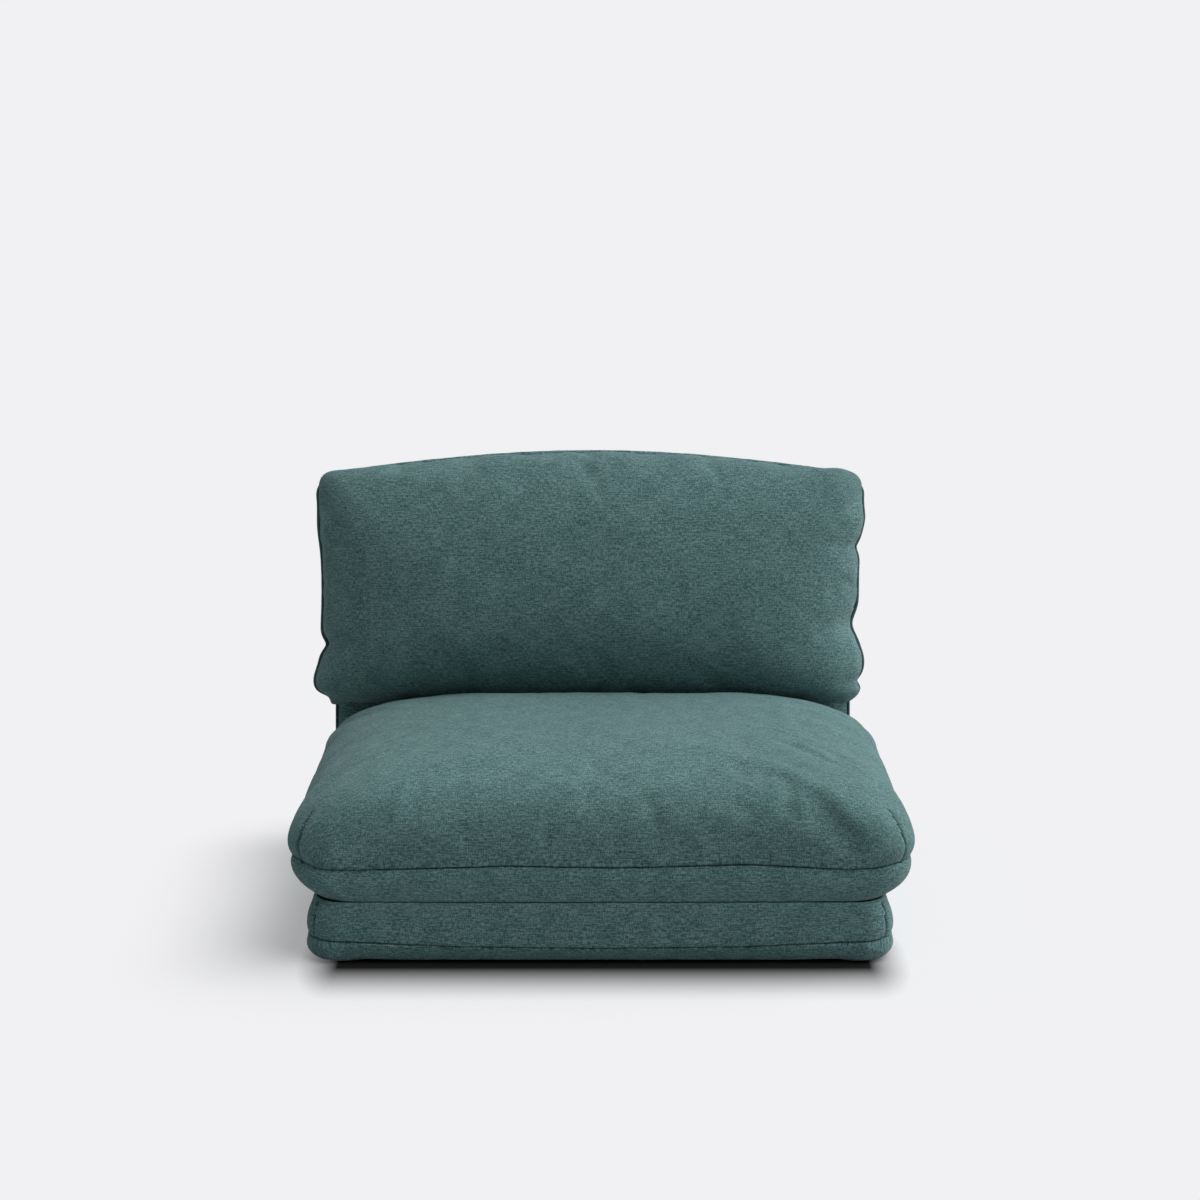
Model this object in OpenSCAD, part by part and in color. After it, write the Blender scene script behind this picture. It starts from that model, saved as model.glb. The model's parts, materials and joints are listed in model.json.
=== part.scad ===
// Convertible floor armchair, folded up as a chair.
// A plush seat section stands on a foot section that is folded under it, plush
// side down. The foot section swings out at the front fold, and the back reclines
// on two ratchet hinges, so that all three sections lie in line as a single bed.
// X is the width, Y runs from the front to the back, and Z is up. The origin is
// on the floor, under the middle of the seat section's depth.

/* [Seat section] */
// Depth of the seat section, from the front fold to its rear face
seat_depth = 660; // [600:5:720]
// Half of the seat's width at its widest bulge
seat_half_width = 450; // [410:5:500]
// Height of the seam between the side band and the plush top, above the base
seat_seam = 50; // [42:1:60]
// Height of the widest bulge above the base
seat_bulge = 72; // [64:1:90]
// Rise of the crown above the widest bulge
seat_crown = 118; // [95:1:140]
// How far the band draws in from the seam to the base
seat_draw = 34; // [15:1:45]
// Share of the crown's slope that is left at the rear, where the seat is fuller
seat_rear_share = 0.85; // [0.4:0.05:1]
// Depth of the wadding over the edges of the seat's foam slab
seat_wad = 10; // [6:1:20]

/* [Foot section] */
// Depth of the foot section
foot_depth = 640; // [560:5:650]
// Half of the foot section's width at its seam
foot_half_width = 427; // [380:5:470]
// Height of the folded foot section, which is the height of the front fold
foot_height = 94; // [85:1:110]
// Height of the seam between its band and its plush side, above its base
foot_seam = 56; // [46:1:62]
// How far the band draws in towards the base
foot_draw = 14; // [5:1:25]
// Depth of the wadding over the foot section's foam slab
foot_wad = 16; // [8:1:20]

/* [Back section] */
// Half of the back panel's width
back_half_width = 425; // [410:5:450]
// Length of the back panel above the hinge
back_length = 500; // [440:5:540]
// Thickness of the back panel in front of its frame
back_pad = 38; // [36:1:44]
// Length of the back panel below the hinge
back_foot = 15; // [11:1:16]
// Lean of the back in its highest notch
lean = 10; // [6:1:14]
// Gap between the seat's rear face and the back panel
back_gap = 4; // [3:0.5:8]

/* [Back pillow] */
// Half of the pillow's width at its seam
pillow_half_width = 443; // [400:5:465]
// Height of the pillow's seam outline at its corners
pillow_height = 380; // [320:4:400]
// How far the pillow's front stands out from its seam
pillow_front = 100; // [70:1:110]
// How far the pillow's back stands out from its seam
pillow_rear = 36; // [25:1:45]
// How far the top edge bows up between its corners
pillow_bow = 22; // [0:1:30]
// How far the sides draw in between the corners
pillow_waist = 8; // [0:1:14]
// Share by which the filling slumps towards the lower edge
pillow_slump = 0.5; // [0:0.05:0.55]
// Diameter of the piping round the pillow
piping = 6; // [4:0.5:8]

/* [Steel frames] */
// Outer diameter of the frame tube
tube = 22; // [20:1:25]
// Wall of the frame tube
tube_wall = 1.5; // [1:0.1:2.2]
// Distance of the side tubes from the narrowest section's edge
frame_inset = 43; // [36:1:80]
// Radius of the bends, at the middle of the tube
tube_bend = 60; // [45:1:80]
// Distance from a section's end to its end tube
tube_front = 66; // [58:1:90]
// Width of an elastic strap
strap_w = 60; // [40:1:64]
// Thickness of an elastic strap
strap_t = 2; // [1:0.1:2.5]

/* [Ratchet hinge] */
// Thickness of a cheek plate
cheek_t = 2.5; // [2:0.1:3]
// Thickness of the toothed arm between the cheeks
arm_t = 5; // [4:0.5:6]
// Diameter of the pivot rivet
rivet = 10; // [8:0.5:12]
// Radius of the ratchet teeth's tips
teeth_r = 17; // [16:0.5:19]
// Depth of a ratchet tooth
tooth_depth = 3; // [2:0.5:4]
// Number of notches, one for each position of the back
notches = 6; // [4:1:7]
// Swing of the back from its highest notch to flat
recline = 80; // [60:1:84]
// Diameter of the pawl's pin
pawl_pin = 5; // [4:0.5:6]
// Length of the hinge plates inside the tubes
plate_in_tube = 30; // [26:1:40]
// Diameter of the rivets through the tubes
tube_rivet = 5; // [4:0.5:6]

/* [Covers] */
// Thickness of the upholstery cloth with its lining
cloth = 3; // [2:0.5:4]
// Thickness of the woven base cloths
base_cloth = 2.5; // [2.5:0.5:3.5]
// Length of each zip
zip_length = 640; // [400:10:660]
// Radius of the cord in the front fold
fold_cord = 2; // [1:0.5:2]

/* [Clearances] */
// Gap between the folded sections' base cloths
fold_gap = 0.6; // [0.4:0.1:1.5]
// Gap between soft pieces and what they lie on
soft_gap = 0.3; // [0.3:0.05:0.6]
// Height that the pillow keeps over the seat's crown, where they meet
pillow_gap = 4; // [2:1:12]
// Radial running clearance of a pin in its bore
running = 0.05; // [0.03:0.01:0.1]
// Side clearance of the plates in a hinge
side_gap = 0.2; // [0.15:0.05:0.4]
// Clearance of the hinge plates in the tubes
tube_fit = 0.2; // [0.1:0.05:0.4]

/* [Hidden] */
$fn = 64;

// colours
teal = [0.25, 0.42, 0.42];
teal_dark = [0.19, 0.33, 0.33];
base_black = [0.13, 0.14, 0.15];
foam_cream = [0.93, 0.88, 0.72];
fibre_white = [0.95, 0.95, 0.93];
steel_black = [0.16, 0.16, 0.17];
steel_zinc = [0.72, 0.73, 0.74];
strap_grey = [0.35, 0.36, 0.38];
zip_black = [0.08, 0.08, 0.09];

// the folded stack
front_y = -seat_depth / 2;
rear_y = seat_depth / 2;
fold_z = foot_height;
seat_base_z = fold_z + fold_gap / 2;
foot_base_z = fold_z - fold_gap / 2;
foot_thick = foot_base_z;

// how the covers are shaped
seam_nip = 3;
fold_ease = 0.6;
fold_round = fold_cord + 0.1;
draw_power = 2.5;
rear_draw = 8;
side_bow = 4;
inner = cloth + soft_gap;

// the frame lies on the base cloth, with a strap's thickness below it
tube_r = tube / 2;
bore_r = tube_r - tube_wall;
tube_up = base_cloth + soft_gap + strap_t + soft_gap + tube_r;
strap_r = tube_r + soft_gap;
frame_room = strap_r + strap_t + soft_gap;
tube_z = seat_base_z + tube_up;
seat_base_half = seat_half_width - seam_nip - seat_draw;
back_edge_round = 12;
tube_side = min(seat_base_half, back_half_width - back_edge_round) - frame_inset;
front_tube_y = front_y + tube_front;
rear_tube_y = rear_y - tube_front;
weld_gap = 0.1;
slab_over = 8;

// the fold strip is slung round the path of the back's heel
strip_t = 2;
strip_r = norm([back_foot, tube_up]) + 0.5;

// the hinge stands behind the seat, and clear of the folded foot section
foot_rear_y = front_y + foot_depth;
pivot_y = max(rear_y + back_pad + back_gap, foot_rear_y + strip_r + strip_t + back_gap);
pivot_z = tube_z;
cheek_in = arm_t / 2 + side_gap;
cheek_out = cheek_in + cheek_t;
cheek_r = teeth_r + 4;
rivet_head = 1.4;
neck_h = 2 * sqrt(pow(bore_r - tube_fit, 2) - pow(cheek_out, 2));
shank_w = 2 * sqrt(pow(bore_r - tube_fit, 2) - pow(arm_t / 2, 2));
seat_tube_end = rear_y - rear_draw - 6;
neck_from = seat_tube_end - plate_in_tube - pivot_y;
pawl_pos = [-teeth_r - 7, teeth_r + 3];
pawl_eye = pawl_pin / 2 + 4;
pawl_boss = pawl_eye + 2;
tip_gap = 0.4;
nose = [-teeth_r - tip_gap, -1];
nose_len = 7;
back_tube_low = cheek_r + 7;
rivet_places = [8, plate_in_tube - 8];
notch_half = cheek_out + rivet_head + 2;
notch_clear = 1.5;

// every level of a form has the same count of points
corner_steps = 3;
long_steps = 6;
short_steps = 5;

// Points along an arc, from a to b degrees
function arc(c, r, a, b) = [
    for (k = [0 : corner_steps])
        let (t = a + (b - a) * k / corner_steps)
        [c[0] + r * cos(t), c[1] + r * sin(t)]
];

// Points between two corners, drawn in by a bow towards the middle
function edge(p, q, steps, bow) = [
    for (k = [1 : steps - 1])
        let (t = k / steps, d = (q - p) / norm(q - p))
        p + (q - p) * t + bow * sin(180 * t) * [-d[1], d[0]]
];

// A rounded rectangle, anticlockwise, from its half width, its low and high ends, its
// corner radius, and how far its sides and its high end are drawn in
function outline(w, y0, y1, r, sides = 0, high = 0) = concat(
    arc([w - r, y1 - r], r, 0, 90),
    edge([w - r, y1], [-w + r, y1], long_steps, high),
    arc([-w + r, y1 - r], r, 90, 180),
    edge([-w, y1 - r], [-w, y0 + r], short_steps, sides),
    arc([-w + r, y0 + r], r, 180, 270),
    edge([-w + r, y0], [w - r, y0], long_steps, 0),
    arc([w - r, y0 + r], r, 270, 360),
    edge([w, y0 + r], [w, y1 - r], short_steps, sides)
);

// A level of a form is an outline lifted to its height
function level(points, z) = [for (p = points) [p[0], p[1], z]];
function flatten(lists) = [for (l = lists) each l];
function spread(ring, axis) = [for (p = ring) p[axis]];
function middle(ring) = [
    for (axis = [0 : 2]) (min(spread(ring, axis)) + max(spread(ring, axis))) / 2
];

// Fullness of a crown, from 0 at its seam to 1 at its reach
function fullness(inset, reach, power, root) =
    pow(1 - pow(1 - min(inset / reach, 1), power), root);

// How far a band draws in at a height between its base and its seam
function draw_in(h, seam) = pow(max(0, 1 - h / seam), draw_power);

// Triangles between the levels of a form, and across its ends
function wall(from, levels, n, inwards) = [
    for (i = [0 : levels - 2], j = [0 : n - 1])
        let (a = from + i * n + j, b = from + i * n + (j + 1) % n, c = b + n, d = a + n)
        each (inwards ? [[a, c, d], [a, b, c]] : [[a, d, c], [a, c, b]])
];
function lid(from, n, tip, up) = [
    for (j = [0 : n - 1])
        up ? [tip, from + (j + 1) % n, from + j] : [tip, from + j, from + (j + 1) % n]
];
function rim(a, b, n, up) = [
    for (j = [0 : n - 1])
        let (k = (j + 1) % n)
        each (up ? [[a + j, b + j, b + k], [a + j, b + k, a + k]]
                 : [[a + j, a + k, b + k], [a + j, b + k, b + j]])
];

// A closed solid through a stack of levels
module form(rings) {
    n = len(rings[0]);
    m = len(rings);
    points = concat(flatten(rings), [middle(rings[0]), middle(rings[m - 1])]);
    faces = concat(
        wall(0, m, n, false), lid(0, n, m * n, false), lid((m - 1) * n, n, m * n + 1, true)
    );
    polyhedron(points, faces, convexity = 6);
}

// A cloth band between two stacks of levels, open at both ends
module band_shell(outside, inside) {
    n = len(outside[0]);
    m = len(outside);
    points = concat(flatten(outside), flatten(inside));
    faces = concat(
        wall(0, m, n, false), wall(m * n, m, n, true),
        rim(0, m * n, n, false), rim((m - 1) * n, (2 * m - 1) * n, n, true)
    );
    polyhedron(points, faces, convexity = 6);
}

// A cloth panel that is closed at its crown and open at its seam
module panel_shell(outside, inside) {
    n = len(outside[0]);
    m = len(outside);
    tips = [middle(outside[m - 1]), middle(inside[m - 1])];
    points = concat(flatten(outside), flatten(inside), tips);
    faces = concat(
        wall(0, m, n, false), wall(m * n, m, n, true), rim(0, m * n, n, false),
        lid((m - 1) * n, n, 2 * m * n, true), lid((2 * m - 1) * n, n, 2 * m * n + 1, false)
    );
    polyhedron(points, faces, convexity = 6);
}

// A rounded rectangle about its centre, with true arcs
module rounded(x, y, r) {
    square([x - 2 * r, y], center = true);
    square([x, y - 2 * r], center = true);
    for (sx = [-1, 1], sy = [-1, 1])
        translate([sx * (x / 2 - r), sy * (y / 2 - r)]) circle(r);
}

// Seat section
band_heights = [0, 0.12, 0.4, 1];
seat_reach = seat_depth / 2;
seat_shares = [0, 0.03, 0.1, 0.21, 0.42, 0.73];
seat_corner = 62;
function seat_width(h) = seat_half_width - seat_draw * draw_in(h, seat_seam)
    - seam_nip * min(1, (seat_bulge - h) / (seat_bulge - seat_seam));
function seat_front(h) = front_y + fold_ease + fold_round * pow(max(0, 1 - h / seat_seam), 6);
function seat_rear(h) = rear_y - rear_draw * draw_in(h, seat_seam);
function seat_full(inset) = seat_crown * fullness(inset, seat_reach, 3, 0.55);
function seat_level(h, t, i, z, r) = level(
    outline(seat_width(h) - t - i, seat_front(h) + t + i,
            seat_rear(h) - t - i * seat_rear_share, r, side_bow),
    seat_base_z + z
);
function seat_band_level(h, t) = seat_level(h, t, 0, h, seat_corner - t);
function seat_band_rings(t) = [for (share = band_heights) seat_band_level(share * seat_seam, t)];
function seat_crown_rings(t) = [
    for (share = seat_shares)
        let (i = share * seat_reach, r = min(seat_corner + 0.4 * i, seat_reach - i - 20))
        seat_level(seat_bulge, t, i, seat_bulge + seat_full(i) - t * min(1, 0.5 + i / 20), r - t / 2)
];
function seat_top_rings(t) = concat([seat_band_level(seat_seam, t)], seat_crown_rings(t));

module seat_top_panel() {
    color(teal) panel_shell(seat_top_rings(0), seat_top_rings(cloth));
}

// The rear of the band has a buttonhole for each hinge neck
module seat_side_band() {
    hole_h = neck_h + 2 * notch_clear;
    color(teal) difference() {
        band_shell(seat_band_rings(0), seat_band_rings(cloth));
        for (side = [-1, 1])
            translate([side * tube_side - notch_half, seat_tube_end, tube_z - hole_h / 2])
                cube([2 * notch_half, 40, hole_h]);
    }
}

// A base cloth with the slot that its hidden zip closes
module base_plate(points, slot_y) {
    difference() {
        linear_extrude(base_cloth) polygon(points);
        translate([-zip_length / 2 - zip_end, slot_y - zip_slot / 2, -1])
            cube([zip_length + 2 * zip_end, zip_slot, base_cloth + 2]);
    }
}

seat_zip_y = rear_y - 34;
module seat_base_cloth() {
    points = outline(seat_width(0) - inner, seat_front(0) + inner, seat_rear(0) - inner,
                     seat_corner - inner, side_bow);
    color(base_black) translate([0, 0, seat_base_z]) base_plate(points, seat_zip_y);
}

// The foam slab is a plain block on the frame, and the wadding rounds it off
slab_end = tube_r + soft_gap + slab_over;
seat_slab_half = tube_side + frame_room + slab_over;
seat_slab_from = tube_z + frame_room;
seat_slab_to = seat_base_z + seat_bulge + seat_full(tube_front - slab_end) - cloth - seat_wad;
module seat_slab_outline(extra) {
    translate([0, (front_tube_y + rear_tube_y) / 2])
        rounded(2 * (seat_slab_half + extra),
                rear_tube_y - front_tube_y + 2 * (slab_end + extra), seat_corner + extra);
}
module seat_foam_slab() {
    color(foam_cream) translate([0, 0, seat_slab_from])
        linear_extrude(seat_slab_to - seat_slab_from) seat_slab_outline(0);
}

// Fibre wadding fills the cover round the slab, and leaves room for the frame below
module seat_wadding() {
    hollow = seat_slab_to + soft_gap - seat_base_z + 1;
    low = base_cloth + soft_gap;
    color(fibre_white) difference() {
        form(concat(
            [for (h = [low, 0.4 * seat_seam, seat_seam]) seat_band_level(h, inner)], seat_crown_rings(inner)
        ));
        translate([0, 0, seat_base_z - 1]) linear_extrude(hollow) seat_slab_outline(soft_gap);
        for (side = [-1, 1])
            translate([side * tube_side - frame_room, 0, seat_base_z - 1])
                cube([2 * frame_room, rear_y, tube_up + frame_room + 1]);
        zip_room(seat_zip_y, seat_base_z, rear_tube_y);
    }
}

// Room in the wadding over a zip, out to the hollow that starts at near_y
module zip_room(zip_y, base_z, near_y) {
    translate([-zip_length / 2 - zip_end, near_y, base_z])
        cube([zip_length + 2 * zip_end, zip_y + zip_tape / 2 + 1 - near_y, base_cloth + zip_tape_t + 1]);
}

// Tube along Z, and the bent bow with a leg down each side and one cross run
module pipe_section() {
    difference() {
        circle(tube_r);
        circle(bore_r);
    }
}
module pipe(length) {
    linear_extrude(length) pipe_section();
}
module bow(leg_end, cross_y, toward) {
    bend_y = cross_y + toward * tube_bend;
    for (side = [-1, 1]) {
        turn = toward > 0 ? (side > 0 ? 270 : 180) : (side > 0 ? 0 : 90);
        translate([side * tube_side, min(leg_end, bend_y), 0])
            rotate([-90, 0, 0]) pipe(abs(leg_end - bend_y));
        translate([side * (tube_side - tube_bend), bend_y, 0])
            rotate([0, 0, turn])
                rotate_extrude(angle = 90) translate([tube_bend, 0]) pipe_section();
    }
    translate([-(tube_side - tube_bend), cross_y, 0]) rotate([0, 90, 0]) pipe(2 * (tube_side - tube_bend));
}
module rivet_bores(places) {
    for (side = [-1, 1], y = places)
        translate([side * tube_side - tube, y, 0]) rotate([0, 90, 0])
            cylinder(r = tube_rivet / 2 + running, h = 2 * tube);
}
module tube_rivets(places) {
    for (side = [-1, 1], y = places)
        translate([side * tube_side, y, 0])
            headed_pin(tube_rivet, tube_rivet + 4, tube_r + side_gap / 2);
}

// A cross tube with ends shaped to the side tubes
module cross_tube(y) {
    difference() {
        translate([-tube_side + tube_r / 2, y, 0]) rotate([0, 90, 0]) pipe(2 * tube_side - tube_r);
        for (side = [-1, 1])
            translate([side * tube_side, y - tube, 0]) rotate([-90, 0, 0])
                cylinder(r = tube_r + weld_gap, h = 2 * tube);
    }
}

seat_rivet_ys = [for (p = rivet_places) seat_tube_end - plate_in_tube + p];
module seat_frame_bow() {
    color(steel_black) translate([0, 0, tube_z]) difference() {
        bow(seat_tube_end, front_tube_y, 1);
        rivet_bores(seat_rivet_ys);
    }
}
module seat_frame_rivets() {
    color(steel_zinc) translate([0, 0, tube_z]) tube_rivets(seat_rivet_ys);
}

// The straps share out the frame's bays
seat_bay_low = front_tube_y + tube_bend;
seat_bay_high = rear_tube_y - tube_r;
seat_mid_y = seat_bay_low + 0.38 * (seat_bay_high - seat_bay_low);
function share_out(low, high, count) = [
    for (k = [0 : count - 1]) low + (k + 0.5) * (high - low) / count
];
seat_strap_ys = concat(
    share_out(seat_bay_low, seat_mid_y - tube_r, 2), share_out(seat_mid_y + tube_r, seat_bay_high, 3)
);
module seat_frame_cross_tubes() {
    color(steel_black) translate([0, 0, tube_z]) for (y = [seat_mid_y, rear_tube_y]) cross_tube(y);
}
module seat_elastic_straps() {
    color(strap_grey) translate([0, 0, tube_z]) for (y = seat_strap_ys) translate([0, y, 0]) strap();
}

// An elastic strap: a flat run over the frame, with an end looped round each side tube
strap_tail = 34;
module strap() {
    rotate([90, 0, 0]) translate([0, 0, -strap_w / 2]) linear_extrude(strap_w) {
        translate([-tube_side, strap_r]) square([2 * tube_side, strap_t]);
        for (side = [-1, 1]) translate([side * tube_side, 0]) mirror([side < 0 ? 1 : 0, 0]) {
            intersection() {
                difference() {
                    circle(strap_r + strap_t);
                    circle(strap_r);
                }
                translate([0, -tube]) square([tube, 2 * tube]);
            }
            translate([-strap_tail, -strap_r - strap_t]) square([strap_tail, strap_t]);
        }
    }
}

// A hidden zip: tape on the cloth's inner side, and a coil that stands in the cloth's slot
zip_tape = 24;
zip_tape_t = 0.8;
zip_coil = 5;
zip_slot = 9;
zip_end = 12;
zip_skin = 0.2;
coil_from = 1.1;
slider_l = 13;
slider_wall = 1;
module zip_chain() {
    translate([-zip_length / 2, -zip_tape / 2, base_cloth + zip_skin])
        cube([zip_length, zip_tape, zip_tape_t]);
    translate([-zip_length / 2, -zip_coil / 2, coil_from])
        cube([zip_length, zip_coil, base_cloth + zip_skin - coil_from]);
}

// The slider straddles the coil, with its pull tab folded flat along the slot
module zip_slider() {
    half = zip_coil / 2 + zip_skin;
    plate_t = coil_from - 2 * zip_skin;
    translate([zip_length / 2 - slider_l - 2, 0, zip_skin]) {
        translate([0, -half - slider_wall, 0]) cube([slider_l, 2 * (half + slider_wall), plate_t]);
        for (y = [-half - slider_wall, half])
            translate([0, y, 0]) cube([slider_l, slider_wall, base_cloth - 2 * zip_skin]);
        translate([slider_l - 1, -1.5, 0]) cube([zip_end, 3, plate_t]);
    }
}
module seat_zip_chain() {
    color(zip_black) translate([0, seat_zip_y, seat_base_z]) zip_chain();
}
module seat_zip_slider() {
    color(steel_zinc) translate([0, seat_zip_y, seat_base_z]) zip_slider();
}

// The cord sewn into the front fold, on the line that the foot section turns about
module front_fold_cord() {
    length = 2 * (seat_width(0) - seat_corner);
    color(teal_dark) translate([-length / 2, front_y, fold_z]) rotate([0, 90, 0])
        cylinder(r = fold_cord, h = length);
}

// The cloth strip under the hinge line: flat from the seat's rear edge, then slung round
// the path of the back's heel
strip_half = tube_side - notch_half - 4;
strip_start = 180 + asin((tube_up - strip_t) / strip_r);
strip_end = 356 - asin(tube_up / strip_r);
module rear_fold_strip() {
    flat_from = seat_rear(strip_t) + soft_gap;
    flat_to = pivot_y + strip_r * cos(strip_start);
    color(teal_dark) translate([-strip_half, 0, 0]) plate(2 * strip_half) {
        translate([flat_from, seat_base_z]) square([flat_to - flat_from, strip_t]);
        translate([pivot_y, pivot_z]) intersection() {
            difference() {
                circle(strip_r + strip_t);
                circle(strip_r);
            }
            wedge(strip_start, strip_end, 2 * strip_r);
        }
    }
}
module wedge(from, to, r) {
    polygon(concat([[0, 0]], [for (k = [0 : 4]) let (a = from + (to - from) * k / 4) r * [cos(a), sin(a)]]));
}

// A flat profile in Y and Z made into a plate that is thick along X
module plate(thick) {
    rotate([90, 0, 90]) linear_extrude(thick) children();
}
module at_hinge(side) {
    translate([side * tube_side, pivot_y, pivot_z]) children();
}

// The two cheek plates of a ratchet hinge, with a neck that enters the seat's side tube
module cheek_profile() {
    difference() {
        union() {
            circle(cheek_r);
            translate(pawl_pos) circle(pawl_boss);
            polygon([[-cheek_r + 1, 0], pawl_pos + [-pawl_boss + 0.5, -2],
                     pawl_pos + [3, pawl_boss - 1], [0, cheek_r - 0.5], [0, 0]]);
            translate([neck_from, -neck_h / 2]) square([-neck_from, neck_h]);
        }
        circle(rivet / 2 + running);
        translate(pawl_pos) circle(pawl_pin / 2 + running);
        for (p = rivet_places) translate([neck_from + p, 0]) circle(tube_rivet / 2 + running);
    }
}
module hinge_cheeks(side) {
    color(steel_zinc) at_hinge(side)
        for (face = [-cheek_out, cheek_in]) translate([face, 0, 0]) plate(cheek_t) cheek_profile();
}

// A pin along X with a low flat head at both ends
module headed_pin(d, head_d, half) {
    rotate([0, 90, 0]) {
        translate([0, 0, -half]) cylinder(d = d, h = 2 * half);
        for (end = [-half - rivet_head, half]) translate([0, 0, end]) cylinder(d = head_d, h = rivet_head);
    }
}
module hinge_rivet(side) {
    color(steel_zinc) at_hinge(side) headed_pin(rivet, rivet + 8, cheek_out + side_gap / 2);
}
module pawl_pin(side) {
    color(steel_zinc) at_hinge(side) translate([0, pawl_pos[0], pawl_pos[1]])
        headed_pin(pawl_pin, pawl_pin + 4, cheek_out + side_gap / 2);
}

// The pawl hangs from its pin, with its nose at the tips of the teeth
pawl_t = arm_t - side_gap;
pawl_heel = pawl_pos + [-pawl_eye + 0.6, -2];
module pawl(side) {
    color(steel_black) at_hinge(side) translate([-pawl_t / 2, 0, 0]) plate(pawl_t) difference() {
        union() {
            translate(pawl_pos) circle(pawl_eye);
            polygon([pawl_heel, nose - [nose_len, 0], nose, nose + [-1, 4], pawl_pos + [pawl_eye - 1.5, -3]]);
        }
        translate(pawl_pos) circle(pawl_pin / 2 + running);
    }
}

// The leaf spring behind the pawl, bent out of flat strip, with its foot in the neck
spring_t = 0.8;
spring_w = 2 * (cheek_in - soft_gap);
spring_foot = 12;
module pawl_spring(side) {
    knee = nose - [nose_len + soft_gap + 0.2, 0.3];
    along = (pawl_heel - nose + [nose_len, 0]) / norm(pawl_heel - nose + [nose_len, 0]);
    tip = knee + 10 * along;
    floor_z = -neck_h / 2 + 0.6;
    out = [spring_t, 0];
    color(steel_zinc) at_hinge(side) translate([-spring_w / 2, 0, 0]) plate(spring_w)
        polygon([[knee[0], floor_z], knee, tip, tip - out, knee - out,
                 [knee[0] - spring_t, floor_z + spring_t],
                 [knee[0] - spring_foot, floor_z + spring_t], [knee[0] - spring_foot, floor_z]]);
}

// The toothed arm of the back: its teeth face the pawl, and its shank enters the side tube
pitch = recline / (notches - 1);
module arm_profile() {
    first = 180 + atan(nose[1] / nose[0]) + lean;
    root = teeth_r - tooth_depth;
    difference() {
        union() {
            circle(teeth_r);
            translate([-shank_w / 2, 0]) square([shank_w, back_tube_low + plate_in_tube]);
        }
        circle(rivet / 2 + running);
        for (k = [0 : notches - 1])
            rotate(first + k * pitch)
                polygon([[root, 0], [teeth_r + 1, 0], [teeth_r + 1, -tooth_depth], [root, -0.8]]);
        for (p = rivet_places) translate([0, back_tube_low + p]) circle(tube_rivet / 2 + running);
    }
}
module back_hinge_arm(side) {
    color(steel_zinc) in_back() translate([side * tube_side - arm_t / 2, 0, 0])
        plate(arm_t) rotate(-90) arm_profile();
}

// Foot section, drawn base down and then laid upside down under the seat
foot_corner = 46;
foot_edge = 24;
foot_shares = [0.1, 0.38, 1];
flat_cut = 0.5;
module in_foot() {
    translate([0, 0, foot_base_z]) mirror([0, 0, 1]) children();
}
function foot_width(h) = foot_half_width - foot_draw * draw_in(h, foot_seam);
function foot_front(h) = front_y + fold_ease + fold_round * pow(max(0, 1 - h / foot_seam), 6);
function foot_level(h, inset, z, r) =
    level(outline(foot_width(h) - inset, foot_front(h) + inset, foot_rear_y - inset, r, side_bow), z);
function foot_band_rings(t) = [
    for (share = band_heights)
        let (h = share * foot_seam)
        foot_level(h, t, h, foot_corner - t)
];
function foot_crown_rings(t) = [
    for (share = foot_shares)
        let (
            i = share * foot_edge,
            z = foot_seam + (foot_thick + flat_cut - foot_seam) * fullness(share, 1, 3.2, 0.6)
        )
        foot_level(foot_seam, t + i, z - t, foot_corner + 0.3 * i)
];
function foot_plush_rings(t) =
    concat([foot_level(foot_seam, t, foot_seam, foot_corner - t)], foot_crown_rings(t));

// The plush side is pressed flat where the chair stands on it
module foot_plush_panel() {
    color(teal) in_foot() difference() {
        panel_shell(foot_plush_rings(0), foot_plush_rings(cloth));
        translate([-foot_half_width, front_y, foot_thick]) cube([2 * foot_half_width, foot_depth, cloth]);
    }
}
module foot_side_band() {
    color(teal) in_foot() band_shell(foot_band_rings(0), foot_band_rings(cloth));
}
foot_zip_y = foot_rear_y - 34;
module foot_base_cloth() {
    points = outline(foot_width(0) - inner, foot_front(0) + inner, foot_rear_y - inner,
                     foot_corner - inner, side_bow);
    color(base_black) in_foot() base_plate(points, foot_zip_y);
}
foot_slab_inset = 48;
foot_slab_from = base_cloth + zip_tape_t + 3 * soft_gap;
foot_slab_to = foot_thick - cloth - foot_wad;
module foot_slab_outline(extra) {
    translate([0, (front_y + foot_rear_y) / 2])
        rounded(2 * (foot_half_width - foot_slab_inset + extra),
                foot_depth - 2 * (foot_slab_inset - extra), foot_corner + extra);
}
module foot_foam_slab() {
    color(foam_cream) in_foot() translate([0, 0, foot_slab_from])
        linear_extrude(foot_slab_to - foot_slab_from) foot_slab_outline(0);
}
module foot_wadding() {
    low = base_cloth + soft_gap;
    color(fibre_white) in_foot() difference() {
        form(concat(
            [for (h = [low, 0.4 * foot_seam, foot_seam]) foot_level(h, inner, h, foot_corner - inner)],
            foot_crown_rings(inner)
        ));
        translate([0, 0, -1]) linear_extrude(foot_slab_to + 1 + soft_gap) foot_slab_outline(soft_gap);
        zip_room(foot_zip_y, 0, foot_rear_y - foot_slab_inset - 1);
    }
}
module foot_zip_chain() {
    color(zip_black) in_foot() translate([0, foot_zip_y, 0]) zip_chain();
}
module foot_zip_slider() {
    color(steel_zinc) in_foot() translate([0, foot_zip_y, 0]) zip_slider();
}

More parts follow.
